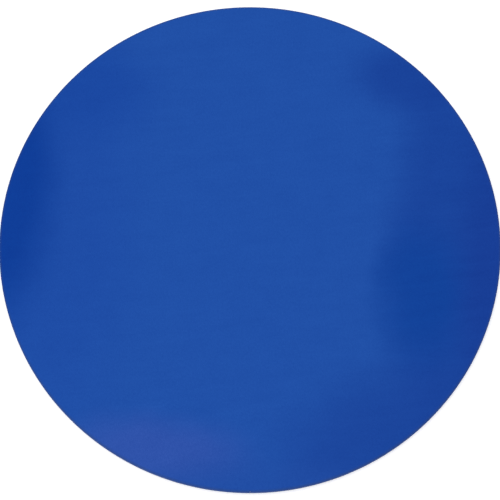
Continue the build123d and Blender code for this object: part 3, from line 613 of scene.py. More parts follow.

# Painted shade in hollows, and colours of loose fibres, dust and wear.
FOAM_PORE_SHADE, FOAM_WALL = (0.012, 0.012, 0.014), (0.05, 0.05, 0.055)
LINING_DOT_SHADE, WEBBING_GAP_SHADE = (0.004, 0.004, 0.005), (0.003, 0.003, 0.004)
LOOSE_FIBRE = (0.05, 0.05, 0.055)
LINING_DUST, RUBBER_DUST, WEBBING_DUST = (0.11, 0.107, 0.1), (0.13, 0.125, 0.12), (0.14, 0.135, 0.13)
END_GRAIN_TINT, GLUE_LINE = (0.62, 0.55, 0.5), (0.05, 0.028, 0.015)
BEECH_FLECK, BEECH_SCUFF = (0.2, 0.1, 0.045), (0.2, 0.13, 0.08)
RUBBER_SCUFF = (0.06, 0.06, 0.06)
VINYL, VINYL_SCUFF = (0.016, 0.016, 0.017), (0.05, 0.05, 0.05)
FLOOR_CLOUD = (0.8, 0.8, 0.8)
STEEL_STAIN, ZINC_STAIN = (0.25, 0.22, 0.18), (0.32, 0.3, 0.24)
BRASS_STAIN, SCREW_STAIN = (0.2, 0.11, 0.03), (0.16, 0.09, 0.03)


def toned(colour, share):
    """A colour made darker or lighter by a share."""
    return tuple(part * share for part in colour)


def playing_cloth_material(settings):
    """Brushed felt on the cloth's own flat coordinates: soft patches of painted shade and painted light, and drag
    lines and nap drawn as painted light and shade over the felt's own uneven tone.
    """
    material, tree = new_material(
        "Blue playing felt", Sheen_Weight=0.03, Sheen_Roughness=0.5, Specular_IOR_Level=0.06)
    uv = put(tree, "ShaderNodeUVMap", uv_map="Flat").outputs[0]
    place = mapped(tree, uv, scale=(FLAT_SPAN,) * 3, move=(-FLAT_SPAN / 2, -FLAT_SPAN / 2, 0))
    colour = settings.colour
    # Soft patches of painted shade, and one of painted light, laid over the cloth's colour.
    for centre, reach, soft, warp, tone, strength in PAINTED_LIGHT_AND_SHADE_PATCHES.values():
        patch = use(
            tree, "Soft patch", Place=place, Centre=(*centre, 0), Reach=(*reach, 1), Softness=soft, Warp=warp)
        colour = marked(tree, patch["Mask"], strength, colour, tone)
    # Painted shade on the cloth where it turns down over the rim.
    out = vector_maths(tree, "LENGTH", place, output="Value")
    edge = ranged(tree, out, *EDGE_SHADE_REACH, 0, EDGE_SHADE_STRENGTH)
    colour = blend_colours(tree, edge, colour, EDGE_SHADE)
    lines = use(tree, "Drag lines", Place=place, Angle=-settings.drag_angle, Density=1.0)["Value"]
    nap = use(tree, "Felt nap", Place=place, Fibre=NAP_FIBRE)
    cloud = noise_of(tree, place, 14.0, 6.0, 0.7)
    across = put(tree, "ShaderNodeSeparateXYZ", {0: place}).outputs["X"]
    # Drag lines painted as light and shade on the cloth, stronger towards the right side.
    depth = ranged(tree, across, 0.25, 0.45, 0.11, 0.2)
    drag = maths(tree, "MULTIPLY", maths(tree, "SUBTRACT", lines, 0.5), depth)
    fine = maths(tree, "ADD", ranged(tree, nap["Fibres"], 0.35, 0.65, -0.6, 0.6),
                 ranged(tree, nap["Tufts"], 0.3, 0.7, -0.16, 0.16))
    shade = maths(tree, "ADD", drag, fine)
    shade = maths(tree, "ADD", shade, ranged(tree, cloud, 0.3, 0.7, -0.07, 0.07))
    # Lit and shaded copies of the cloth's colour, mixed by the drag lines, nap and cloud: painted light and shade,
    # partly the felt's own uneven tone.
    light, dark = (blend_colours(tree, 1.0, colour, tint, "MULTIPLY") for tint in (PAINTED_NAP_LIGHT, PAINTED_NAP_SHADE))
    shaded = blend_colours(tree, ranged(tree, shade, -0.5, 0.5), dark, light)
    height = weighed(tree, nap["Fibres"], nap["Tufts"], 0.6)
    rough = ranged(tree, nap["Fibres"], 0.3, 0.7, 0.86, 0.98)
    return finished(material, shaded, rough, bump(tree, height, 0.5 * MM, 0.8))


def foam_material():
    material, tree = new_material("Black foam", Specular_IOR_Level=0.2)
    cells = cells_of(tree, place_of(tree), 1500.0)
    # Painted shade in the foam's pores, lighter on the cell walls.
    colour = blend_colours(tree, cells, FOAM_PORE_SHADE, FOAM_WALL)
    return finished(material, colour, ranged(tree, cells, 0, 1, 0.8, 0.98), bump(tree, cells, 0.3 * MM))


def lining_material(settings):
    """Non-woven cloth with a pressed pattern of small dots."""
    material, tree = new_material(
        "Black lining", Sheen_Weight=0.25, Sheen_Roughness=0.4, Specular_IOR_Level=0.2)
    place = place_of(tree)
    dots = cells_of(tree, mapped(tree, place, turn=radians(45)), 520.0, jitter=0.15)
    pressed = ranged(tree, dots, 0.1, 0.32)
    fibres = noise_of(tree, mapped(tree, place, scale=(1, 3, 1), turn=0.5), 700.0, 4.0, 0.7)
    cloud = noise_of(tree, place, 6.0, 5.0, 0.6)
    # Painted shade in the pressed dots.
    colour = blend_colours(tree, pressed, LINING_DOT_SHADE, settings.lining_colour)
    colour = blend_colours(tree, ranged(tree, fibres, 0.45, 0.8, 0, 0.4), colour, LOOSE_FIBRE)
    colour = blend_colours(tree, use(tree, "Dust", Place=place, Amount=0.3)["Mask"], colour, LINING_DUST)
    height = weighed(tree, pressed, fibres, 0.7)
    return finished(material, colour, ranged(tree, cloud, 0.3, 0.7, 0.7, 0.95), bump(tree, height, 0.2 * MM, 0.8))


def plywood_material(settings):
    """Birch boards, with their plies and glue lines on the cut edge."""
    material, tree = new_material("Birch plywood", Specular_IOR_Level=0.35)
    place = place_of(tree)
    light, dark = rgba(settings.light_wood), rgba(settings.dark_wood)
    grain = use(tree, "Wood grain", Place=place, Light=light, Dark=dark, Scale=1.0)
    plies = use(tree, "Plies", Place=place, Level=BOARD_LOW.z, Ply=settings.ply)
    end_grain = blend_colours(tree, 1.0, grain["Color"], END_GRAIN_TINT, "MULTIPLY")
    colour = blend_colours(tree, plies["Dark"], grain["Color"], end_grain)
    colour = blend_colours(tree, plies["Glue"], colour, GLUE_LINE)
    rough = ranged(tree, grain["Height"], 0, 1, 0.55, 0.8)
    return finished(material, colour, rough, bump(tree, grain["Height"], 0.15 * MM, 0.5))


def hardwood_material(settings):
    """Oiled bands with the short dark flecks of beech."""
    material, tree = new_material("Oiled beech band", Coat_Weight=0.12, Coat_Roughness=0.35)
    place = place_of(tree)
    light, dark = rgba(toned(settings.light_wood, 0.92)), rgba(toned(settings.dark_wood, 1.15))
    grain = use(tree, "Wood grain", Place=place, Light=light, Dark=dark, Scale=2.0)
    flecks = noise_of(tree, mapped(tree, place, scale=(300, 60, 500)), 1.0, 2.0)
    colour = blend_colours(tree, ranged(tree, flecks, 0.58, 0.68, 0, 0.6), grain["Color"], BEECH_FLECK)
    scuffs = use(tree, "Handling wear", Place=place, Scale=30.0, Amount=0.3)["Mask"]
    colour = marked(tree, scuffs, 0.4, colour, BEECH_SCUFF)
    rough = ranged(tree, grain["Height"], 0, 1, 0.4, 0.62)
    return finished(material, colour, rough, bump(tree, grain["Height"], 0.1 * MM, 0.5))


def metal_material(name, colour, stretch, base, spread, stain):
    """A brushed or drawn metal with handling marks."""
    material, tree = new_material(name, Metallic=1.0)
    place = place_of(tree)
    brushed = use(tree, "Brushed metal", Place=place, Stretch=stretch, Base=base, Spread=spread)
    wear = use(tree, "Handling wear", Place=place, Scale=120.0, Amount=0.5)["Mask"]
    tint = ranged(tree, noise_of(tree, place, 45.0, 4.0, 0.6), 0.35, 0.7, 0, 0.35)
    varied = blend_colours(tree, tint, colour, toned(colour, 0.72))
    stained = marked(tree, wear, 0.35, varied, stain)
    rough = maths(tree, "ADD", brushed["Roughness"], maths(tree, "MULTIPLY", wear, 0.18), clamp=True)
    return finished(material, stained, rough, bump(tree, brushed["Height"], 0.05 * MM, 0.35))


def rubber_material(settings):
    material, tree = new_material("Black rubber", Specular_IOR_Level=0.4)
    place = place_of(tree)
    grain = noise_of(tree, place, 1400.0, 4.0, 0.6)
    scuffs = use(tree, "Handling wear", Place=place, Scale=160.0, Amount=0.7)["Mask"]
    colour = marked(tree, scuffs, 0.5, settings.rubber_colour, RUBBER_SCUFF)
    colour = blend_colours(tree, use(tree, "Dust", Place=place, Amount=0.8)["Mask"], colour, RUBBER_DUST)
    return finished(material, colour, ranged(tree, grain, 0.3, 0.7, 0.55, 0.8), bump(tree, grain, 0.08 * MM, 0.5))


def vinyl_material():
    material, tree = new_material("Black vinyl grip", Specular_IOR_Level=0.5)
    place = place_of(tree)
    grain = cells_of(tree, place, 900.0)
    scuffs = use(tree, "Handling wear", Place=place, Scale=200.0, Amount=0.5)["Mask"]
    colour = marked(tree, scuffs, 0.5, VINYL, VINYL_SCUFF)
    return finished(material, colour, ranged(tree, grain, 0, 1, 0.35, 0.6), bump(tree, grain, 0.08 * MM, 0.5))


def webbing_material(settings):
    """Woven strap with a light fuzz and dust."""
    material, tree = new_material(
        "Black webbing", Sheen_Weight=0.3, Sheen_Roughness=0.35, Specular_IOR_Level=0.25)
    place = place_of(tree)
    weave = use(tree, "Weave", Place=place, Threads=720.0)
    fuzz = noise_of(tree, place, 1100.0, 4.0, 0.7)
    # Painted shade in the gaps between threads.
    colour = blend_colours(tree, weave["Gap"], settings.webbing_colour, WEBBING_GAP_SHADE)
    colour = blend_colours(tree, ranged(tree, fuzz, 0.5, 0.8, 0, 0.5), colour, LOOSE_FIBRE)
    colour = blend_colours(tree, use(tree, "Dust", Place=place, Amount=0.4)["Mask"], colour, WEBBING_DUST)
    rough = ranged(tree, fuzz, 0.3, 0.7, 0.6, 0.85)
    return finished(material, colour, rough, bump(tree, weave["Height"], 0.3 * MM, 0.8))


def thread_material(settings):
    """Twisted sewing thread."""
    material, tree = new_material("Black sewing thread", Sheen_Weight=0.3, Specular_IOR_Level=0.4)
    values = {"Vector": mapped(tree, place_of(tree), turn=0.7), "Scale": 1400.0}
    twist = put(tree, "ShaderNodeTexWave", values).outputs[1]
    colour = blend_colours(tree, twist, toned(settings.thread_colour, 0.5), settings.thread_colour)
    return finished(material, colour, ranged(tree, twist, 0, 1, 0.4, 0.6), bump(tree, twist, 0.1 * MM, 0.6))


def tape_material(name, threads, tone):
    """Base cloth and pile of hook or loop tape."""
    material, tree = new_material(name, Sheen_Weight=0.35, Sheen_Roughness=0.3, Specular_IOR_Level=0.3)
    place, grey = place_of(tree), (tone,) * 3
    weave = use(tree, "Weave", Place=place, Threads=threads)
    pile = noise_of(tree, place, threads * 1.7, 4.0, 0.7)
    # Painted shade in the gaps between threads.
    colour = blend_colours(tree, weave["Gap"], grey, toned(grey, 0.3))
    colour = blend_colours(tree, ranged(tree, pile, 0.5, 0.8, 0, 0.6), colour, toned(grey, 3))
    return finished(material, colour, ranged(tree, pile, 0.3, 0.7, 0.5, 0.8), bump(tree, pile, 0.2 * MM, 0.7))


def floor_material(settings):
    """A pale floor that is clear from below, so that the underside can be looked at."""
    material, tree = new_material(
        "Pale floor", Specular_IOR_Level=0.1, Emission_Color=(1, 1, 1, 1), Emission_Strength=settings.floor_glow)
    cloud = noise_of(tree, place_of(tree), 2.5, 3.0)
    colour = blend_colours(tree, ranged(tree, cloud, 0.3, 0.7, 0, 0.03), settings.floor_colour, FLOOR_CLOUD)
    finished(material, colour, ranged(tree, cloud, 0.3, 0.7, 0.8, 0.9))
    below = put(tree, "ShaderNodeNewGeometry").outputs["Backfacing"]
    clear = put(tree, "ShaderNodeBsdfTransparent").outputs[0]
    both = put(tree, "ShaderNodeMixShader", {0: below, 1: tree.nodes["Principled BSDF"].outputs[0], 2: clear})
    tree.links.new(both.outputs[0], tree.nodes["Material Output"].inputs["Surface"])
    return material


def paint(piece, material):
    piece.data.materials.clear()
    piece.data.materials.append(material)
    return piece


def finish_nodes(material, *names):
    """Gives CAD nodes a finish, without touching their shape."""
    for name in names:
        paint(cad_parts[name], material)


# ---------------------------------------------------------------- playing cloth and foam
RIPPLE_EDGE_FADE = 25 * MM      # the drag ripple dies out over this distance from the rim
RIPPLE_FOLD_FADE = 20 * MM      # and over this distance from the fold
ROUND_STEP, UNDER_STEP = radians(15), radians(22.5)
SIDE_ROWS, TURN_IN_ROWS, FOAM_ROWS = 3, 4, 4


def drag_ripple(x, y, settings):
    """Depth of the dragged, slightly slack cloth below its flat face, at a point."""
    c, s = cos(settings.drag_angle), sin(settings.drag_angle)
    along, across = x * c + y * s, y * c - x * s
    lines = noise.noise(Vector((along * 2.6, across * 17, 0.3)))
    swell = noise.noise(Vector((x * 5.2, y * 5.2, 4.7)))
    return settings.ripple * clamped(0.5 + 0.45 * lines + 0.35 * swell)


def rim_route(settings):
    """Section of the cloth from the flat face's end to its hem under the board, as (radius, height) points."""
    over, under, top = settings.rim_round, settings.under_round, CLOTH_HIGH.z
    route = [(TOP_RADIUS - over * (1 - sin(a)), top - over * (1 - cos(a)))
             for a in (ROUND_STEP * k for k in range(1, 7))]
    low, side_end = route[-1][1], CLOTH_LOW.z + under
    route += [(TOP_RADIUS, side_end + (low - side_end) * k / SIDE_ROWS) for k in range(SIDE_ROWS - 1, 0, -1)]
    route += [(TOP_RADIUS - under * (1 - cos(a)), side_end - under * sin(a))
              for a in (UNDER_STEP * k for k in range(5))]
    start, hem = route[-1][0], TOP_RADIUS - settings.turn_in
    return route + [
        (start + (hem - start) * k / TURN_IN_ROWS, CLOTH_LOW.z) for k in range(1, TURN_IN_ROWS + 1)]


def cloth_skin(settings):
    """The cloth's outer face, slit at the fold below the top, and the radius of its flat cut."""
    bm = bmesh.new()
    reach = bm.verts.layers.float.new("reach")
    flat = TOP_RADIUS - settings.rim_round
    bmesh.ops.create_circle(bm, cap_ends=True, radius=flat, segments=settings.segments)
    bmesh.ops.translate(bm, verts=bm.verts, vec=(0, 0, CLOTH_HIGH.z))
    cut_in_cells(bm, flat, settings.grid)
    for share in (-1, -0.5, 0, 0.5, 1):
        bisect(bm, Vector((share * FOLD_GAP, 0, 0)), Vector((1, 0, 0)))
    edges, length, here = open_edges(bm), flat, (flat, CLOTH_HIGH.z)
    for radius, height in rim_route(settings):
        length += hypot(radius - here[0], height - here[1])
        here = (radius, height)
        edges, verts = draw_out(bm, edges, radius, height)
        for vert in verts:
            vert[reach] = length
    slit = [face for face in bm.faces
            if abs(face.calc_center_median().x) < FOLD_GAP and face.calc_center_median().z < CLOTH_HIGH.z - MM]
    bmesh.ops.delete(bm, geom=slit, context="FACES")
    uv = bm.loops.layers.uv.new("Flat")
    for vert in bm.verts:
        span = vert[reach] / from_middle(vert.co) if vert[reach] else 1
        for loop in vert.link_loops:
            loop[uv].uv = (0.5 + vert.co.x * span / FLAT_SPAN, 0.5 + vert.co.y * span / FLAT_SPAN)
    for vert in bm.verts:
        if not vert[reach]:
            edge = (flat - from_middle(vert.co)) / RIPPLE_EDGE_FADE
            fold = abs(vert.co.x) / RIPPLE_FOLD_FADE
            vert.co.z -= drag_ripple(vert.co.x, vert.co.y, settings) * min(max(edge, 0), fold, 1)
    return bm, length


def foam_half(side, settings):
    """One half of the foam underlay, rounded over at the rim like the board."""
    bm = bmesh.new()
    round_over = settings.rim_round - CLOTH_THICKNESS
    flat = TOP_RADIUS - settings.rim_round
    thick = FOAM_HIGH.z - FOAM_LOW.z
    bmesh.ops.create_circle(bm, cap_ends=True, radius=flat, segments=settings.segments)
    bmesh.ops.translate(bm, verts=bm.verts, vec=(0, 0, FOAM_HIGH.z))
    edges = open_edges(bm)
    for k in range(1, FOAM_ROWS + 1):
        drop = thick * k / FOAM_ROWS
        out = (round_over**2 - (round_over - drop) ** 2) ** 0.5
        edges, _ = draw_out(bm, edges, flat + out, FOAM_HIGH.z - drop)
    bmesh.ops.holes_fill(bm, edges=edges, sides=0)
    closed_half(bm, side)
    return bm


class TABLETOP_OT_playing_cloth(bpy.types.Operator):
    """Lays one unbroken playing cloth over both halves, pressed thinner along the fold"""

    bl_idname = "tabletop.playing_cloth"
    bl_label = "Playing cloth"

    def execute(self, context):
        settings = context.scene.tabletop_cloth
        bm, cut_radius = cloth_skin(settings)
        cloth = piece_from(bm, "playing_cloth", facing=UP)
        paint(cloth, playing_cloth_material(settings))
        full = cloth.vertex_groups.new(name="Full thickness")
        full.add([v.index for v in cloth.data.vertices if abs(v.co.x) > 0.9 * FOLD_GAP], 1, "REPLACE")
        with_modifier(cloth, "SOLIDIFY", thickness=CLOTH_THICKNESS, offset=-1, vertex_group=full.name,
                      thickness_vertex_group=settings.crease_share)
        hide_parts("left_playing_cloth", "right_playing_cloth")
        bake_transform(cloth)
        return {"FINISHED"}


class TABLETOP_OT_foam(bpy.types.Operator):
    """Puts a thin foam underlay on each board"""

    bl_idname = "tabletop.foam"
    bl_label = "Foam underlay"

    def execute(self, context):
        material = foam_material()
        for name, side in SIDES.items():
            foam = piece_from(foam_half(side, context.scene.tabletop_cloth), f"{name}_foam", smooth=False)
            paint(foam, material)
            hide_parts(f"{name}_foam_underlay")
            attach(foam, f"{name}_half")
        return {"FINISHED"}


# ---------------------------------------------------------------- lining
LINING_SHOWN = 0.9 * MM                         # thickness of the lining as shown
STEP_START, STEP_END = 4 * MM, MM               # the lining's step over the cloth: distances inside its hem
STEP_EASE = (0.8 * MM, 0.1 * MM)                # run and drop where that step begins and ends
EDGE_ROWS = 5
SCALLOP, PUFF = 0.0022, 0.35 * MM               # how the edge draws in, and hangs, between its staples
SAG, SAG_FADE = 0.2 * MM, 60 * MM               # how the flat part hangs, and over what distance that begins


def lining_half(side, name, settings):
    """One half of the lining: flat, stepped over the cloth's edge, and slack between its staples."""
    bm = bmesh.new()
    cloth = bpy.context.scene.tabletop_cloth
    flat_z, edge_z = (LINING_LOW.z + LINING_HIGH.z) / 2, LINING_LOW.z
    flat, step_end = (TOP_RADIUS - cloth.turn_in - inside for inside in (STEP_START, STEP_END))
    bmesh.ops.create_circle(bm, cap_ends=True, radius=flat, segments=cloth.segments)
    bmesh.ops.translate(bm, verts=bm.verts, vec=(0, 0, flat_z))
    cut_in_cells(bm, flat, settings.lining_grid)
    edges, (run, drop) = open_edges(bm), STEP_EASE
    for radius, height in ((flat + run, flat_z - drop), (step_end - run, edge_z + drop)):
        edges, _ = draw_out(bm, edges, radius, height)
    border = LINING_HIGH.x - step_end
    for k in range(EDGE_ROWS):
        edges, _ = draw_out(bm, edges, step_end + border * k / (EDGE_ROWS - 1), edge_z)
    bisect(bm, Vector((side * FOLD_GAP, 0, 0)), Vector((side, 0, 0)), clear=True)
    staples = len(islands(f"{name}_staples"))
    for vert in bm.verts:
        radius = from_middle(vert.co)
        near = clamped((radius - step_end) / border)
        if near > 0:
            angle = atan2(vert.co.y, side * vert.co.x) + pi / 2
            slack = abs(sin(angle * staples - pi / 2))
            pull = 1 - near * (1 - slack) * SCALLOP
            vert.co.x, vert.co.y = vert.co.x * pull, vert.co.y * pull
            vert.co.x = side * max(side * vert.co.x, FOLD_GAP)
            vert.co.z -= PUFF * near * slack
        else:
            hang = 0.5 + 0.5 * noise.noise(Vector((vert.co.x * 9, vert.co.y * 9, 2)))
            vert.co.z -= SAG * clamped((flat - radius) / SAG_FADE) * hang
    return bm


class TABLETOP_OT_lining(bpy.types.Operator):
    """Covers the underside of each half with a stapled lining"""

    bl_idname = "tabletop.lining"
    bl_label = "Lining"

    def execute(self, context):
        settings = context.scene.tabletop_underside
        material = lining_material(settings)
        for name, side in SIDES.items():
            lining = piece_from(lining_half(side, name, settings), f"{name}_lining_cloth", facing=-UP)
            paint(lining, material)
            with_modifier(lining, "SOLIDIFY", thickness=LINING_SHOWN, offset=-1)
            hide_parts(f"{name}_lining")
            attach(lining, f"{name}_half")
        return {"FINISHED"}


# ---------------------------------------------------------------- straps
LAYER_GAP = 0.05 * MM           # round the pin, and between the strap and its doubled end
EYE_NECK = 4 * MM               # how soon past the pin the two layers draw together
DOUBLED_END = 26 * MM           # from the pin to the end of the doubled part
DOUBLED_EASE = 5 * MM           # past it, the strap eases back to its middle height
STRAP_SLICES, EYE_STEPS = 12, 16
TIP_ROUND = 8 * MM              # length over which the strap's tip narrows
TIP_NARROWING = 0.42
STRAP_EASE = 0.25 * MM
EYE_BOX = (10 * MM, 24 * MM)    # the sewn box, from the pin
EYE_BOX_MARGIN = 4 * MM
EYE_THREAD_LIFT, TAPE_THREAD_LIFT = 0.02 * MM, 0.05 * MM
TAPE_CORNER, TAPE_EDGE_SHARE = 3 * MM, 0.25
TAPE_SINK = 0.35 * MM           # how far the hook tape reaches into the webbing's soft face
PILE_MARGIN = 3.5 * MM
HOOK_FOOT, HOOK_HEAD, HOOK_DEPTH, HOOK_DROP = 0.16 * MM, 0.34 * MM, 0.55 * MM, 0.25 * MM
LOOP_SIZE = (1.15 * MM, 0.55 * MM, 0.42 * MM)
HOOK_JITTER, LOOP_JITTER = 0.12, 0.35           # out of place, as a share of the pitch
PILE_NOISE_LEVELS = (5.3, 15.3, 25.3)
HOOK_SEWING_INSET, LOOP_SEWING_INSET = 1.6 * MM, 1.8 * MM


def pin_radius():
    low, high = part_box("strap_pins")
    return (high.z - low.z) / 2


def run_out(bm, vert, offsets, middle):
    """Extrudes a line of webbing from a vertex, through (along, height) offsets from a middle."""
    for along, height in offsets:
        vert = bmesh.ops.extrude_vert_indiv(bm, verts=[vert])["verts"][0]
        vert.co = Vector((middle.x + along, middle.y, middle.z + height))


def strap_band(low, high, pin, settings):
    """A strap of webbing whose end wraps the pin and is doubled back under itself."""
    bm = bmesh.new()
    thick = settings.webbing_thickness
    middle = Vector((pin.x, low.y, pin.z))
    wrap = pin_radius() + thick / 2 + LAYER_GAP
    start = bm.verts.new(middle - UP * wrap)
    spun = bmesh.ops.spin(
        bm, geom=[start], cent=middle, axis=(0, 1, 0), dvec=(0, 0, 0), angle=pi, steps=EYE_STEPS)
    top = verts_in(spun["geom_last"])[0]
    if top.co.z < middle.z or min(v.co.x for v in bm.verts) > middle.x - wrap / 2:
        raise RuntimeError("the webbing wraps the pin the wrong way")
    layer, tip = thick / 2 + LAYER_GAP, high.x - middle.x
    neck = [(EYE_NECK, wrap * 0.8), (2 * EYE_NECK, layer), (DOUBLED_END, layer)]
    rest = [(along, 0) for along in (DOUBLED_END + DOUBLED_EASE, tip * 0.5, tip - TIP_ROUND, tip - 3 * MM, tip)]
    run_out(bm, start, [(along, -height) for along, height in neck], middle)
    run_out(bm, top, neck + rest, middle)
    width, edges = high.y - low.y, list(bm.edges)
    for _ in range(STRAP_SLICES):
        made = bmesh.ops.extrude_edge_only(bm, edges=edges)["geom"]
        bmesh.ops.translate(bm, verts=verts_in(made), vec=(0, width / STRAP_SLICES, 0))
        edges = edges_in(made)
    centre = (low.y + high.y) / 2
    for vert in bm.verts:
        past = (vert.co.x - (high.x - TIP_ROUND)) / TIP_ROUND
        if past > 0:
            shrink = 1 - TIP_NARROWING * (1 - (1 - min(past, 1) ** 2) ** 0.5)
            vert.co.y = centre + (vert.co.y - centre) * shrink
    return bm


def tape_base(low, high):
    """A thin tape with rounded corners."""
    bm = bmesh.new()
    bmesh.ops.create_cube(bm, size=1)
    size = high - low
    place = Matrix.Translation((low + high) / 2) @ Matrix.Diagonal((*size, 1))
    bmesh.ops.transform(bm, verts=bm.verts, matrix=place)
    upright = [edge for edge in bm.edges if abs(edge.verts[0].co.z - edge.verts[1].co.z) > size.z / 2]
    bmesh.ops.bevel(
        bm, geom=upright, offset=TAPE_CORNER, affect="EDGES", segments=6, profile=0.5, material=-1)
    rims = [edge for edge in bm.edges if abs(edge.verts[0].co.z - edge.verts[1].co.z) < size.z / 4]
    rims = [edge for edge in rims if len({round(face.normal.z) for face in edge.link_faces}) > 1]
    bmesh.ops.bevel(
        bm, geom=rims, offset=size.z * TAPE_EDGE_SHARE, affect="EDGES", segments=2, profile=0.5, material=-1)
    return bm


def add_hook(bm, place, jitter):
    stem = bmesh.ops.create_cone(
        bm, cap_ends=True, segments=5, radius1=HOOK_FOOT, radius2=HOOK_HEAD, depth=HOOK_DEPTH)["verts"]
    turn = Matrix.Rotation(pi + 0.3 * jitter.z, 4, "X")
    bmesh.ops.transform(bm, verts=stem, matrix=place @ Matrix.Translation(-UP * HOOK_DROP) @ turn)


def add_loop(bm, place, jitter):
    lump = bmesh.ops.create_icosphere(bm, subdivisions=1, radius=1)["verts"]
    turn = Matrix.Rotation(jitter.x * 9, 4, "Z")
    bmesh.ops.transform(bm, verts=lump, matrix=place @ turn @ Matrix.Diagonal((*LOOP_SIZE, 1)))


def disorder(column, row):
    """How far one hook or loop is out of place along each axis, from -1 to 1. It is the same on every run."""
    return Vector([noise.noise(Vector((column * 1.7, row * 1.3, level))) for level in PILE_NOISE_LEVELS])


def add_pile(bm, low, high, settings, add, spread):
    """Rows of small hooks or soft loops on the lower face of a tape, each a little out of place."""
    pitch = settings.hook_pitch
    columns, rows = (int((high[k] - low[k] - 2 * PILE_MARGIN) / pitch) for k in (0, 1))
    for i in range(columns + 1):
        for j in range(rows + 1):
            jitter = disorder(i, j) * spread
            half_step = 0.5 if j % 2 and i < columns else 0
            x = low.x + PILE_MARGIN + (i + half_step + jitter.x) * pitch
            y = low.y + PILE_MARGIN + (j + jitter.y) * pitch
            add(bm, Matrix.Translation((x, y, low.z)), jitter)


class TABLETOP_OT_straps(bpy.types.Operator):
    """Makes the two closing straps of webbing, with their sewn ends and hook tape"""

    bl_idname = "tabletop.straps"
    bl_label = "Closing straps"

    def execute(self, context):
        settings = context.scene.tabletop_underside
        webbing, thread = webbing_material(settings), thread_material(settings)
        hooks = tape_material("Black hook tape", threads=620.0, tone=0.016)
        for name, pin_box in zip(("front", "rear"), islands("strap_pins")):
            body = f"{name}_closing_strap"
            low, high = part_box(f"{name}_strap")
            pin = (pin_box[0] + pin_box[1]) / 2
            strap = paint(piece_from(strap_band(low, high, pin, settings), f"{name}_webbing"), webbing)
            with_modifier(strap, "SOLIDIFY", thickness=settings.webbing_thickness, offset=0)
            eased(strap, STRAP_EASE, 60)
            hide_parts(f"{name}_strap")
            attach(strap, body)
            self.add_sewing(name, body, low, high, pin, thread, settings)
            self.add_hooks(name, body, hooks, thread, settings)
        return {"FINISHED"}

    def add_sewing(self, name, body, low, high, pin, thread, settings):
        """The sewn box that closes the strap's eye, on both faces."""
        depth = settings.webbing_thickness + LAYER_GAP
        near = Vector((pin.x + EYE_BOX[0], low.y + EYE_BOX_MARGIN, 0))
        far = Vector((pin.x + EYE_BOX[1], high.y - EYE_BOX_MARGIN, 0))
        for face, way in (("under", -1), ("upper", 1)):
            bm = sewn_box(near, far, pin.z + way * depth, way * EYE_THREAD_LIFT, settings, crossed=True)
            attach(paint(piece_from(bm, f"{name}_eye_sewing_{face}"), thread), body)

    def add_hooks(self, name, body, material, thread, settings):
        """The hook tape at the strap's end, sewn round its edge."""
        low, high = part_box(f"{name}_strap_hooks")
        high = high + UP * TAPE_SINK
        bm = tape_base(low, high)
        add_pile(bm, low, high, settings, add_hook, HOOK_JITTER)
        tape = paint(piece_from(bm, f"{name}_hook_tape", smooth=False), material)
        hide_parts(f"{name}_strap_hooks")
        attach(tape, body)
        sewing = sewn_box(low, high, low.z, -TAPE_THREAD_LIFT, settings, inset=HOOK_SEWING_INSET)
        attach(paint(piece_from(sewing, f"{name}_hook_sewing"), thread), body)


class TABLETOP_OT_loop_patches(bpy.types.Operator):
    """Makes the loop tape patches under the right half"""

    bl_idname = "tabletop.loop_patches"
    bl_label = "Loop patches"

    def execute(self, context):
        settings = context.scene.tabletop_underside
        base, sewing = bmesh.new(), bmesh.new()
        for low, high in islands("loop_patches"):
            tape = tape_base(low, high)
            add_pile(tape, low, high, settings, add_loop, LOOP_JITTER)
            add_copy(base, tape)
            add_copy(sewing, sewn_box(
                low, high, low.z, -TAPE_THREAD_LIFT, settings, inset=LOOP_SEWING_INSET))
        loops = tape_material("Black loop tape", threads=480.0, tone=0.02)
        patches = paint(piece_from(base, "loop_tape"), loops)
        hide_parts("loop_patches")
        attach(patches, "right_half")
        thread = bpy.data.materials.get("Black sewing thread") or thread_material(settings)
        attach(paint(piece_from(sewing, "loop_tape_sewing"), thread), "right_half")
        return {"FINISHED"}


# ---------------------------------------------------------------- feet and grip
FOOT_WELL, FOOT_WELL_DEPTH = 6 * MM, 5.3 * MM   # the hole that the screw sits in
FOOT_TAPER = 2 * MM
# The foot's sole: millimetres out from the well, and up.
SOLE_RINGS = ((0.9, 0.2), (1.6, 0.0), (3.2, 0.0), (3.6, 0.5), (4.4, 0.5), (4.8, 0.0))
# One groove in its side: millimetres out, and up.
SIDE_GROOVE = ((0.0, 0.0), (-0.45, 0.25), (-0.45, 0.6), (0.08, 0.85))
SIDE_GROOVE_HEIGHTS = (2.4, 4.5, 6.6)
FOOT_EASE, FOOT_STEPS = 0.12 * MM, 48
GRIP_BORE_GAP = 0.02 * MM
GRIP_RIB_PITCH = 5 * MM
# One groove between the grip's ribs: millimetres along, and in.
GRIP_GROOVE = ((-1.1, 0.0), (-0.7, 0.35), (0.7, 0.35), (1.1, 0.0))
GRIP_EASE, GRIP_STEPS = 0.1 * MM, 40


def foot_outline(radius, height):
    """Half section of a moulded foot, from the well's floor, round the sole and up the ringed side."""
    well, depth, sole = FOOT_WELL, FOOT_WELL_DEPTH, radius - FOOT_TAPER
    points = [(0, depth), (well - 0.6 * MM, depth), (well, depth - 0.5 * MM), (well, 1.0 * MM)]
    points += [(well + out * MM, up * MM) for out, up in SOLE_RINGS]
    points += [(sole - 1.2 * MM, 0.0), (sole - 0.35 * MM, 0.35 * MM), (sole, 1.2 * MM)]
    for level in SIDE_GROOVE_HEIGHTS:
        z = level * MM
        r = sole + FOOT_TAPER * z / height
        points += [(r + out * MM, z + up * MM) for out, up in SIDE_GROOVE]
    return points + [
        (radius, height - 0.9 * MM), (radius, height - 0.15 * MM), (radius - 0.4 * MM, height), (0, height)]


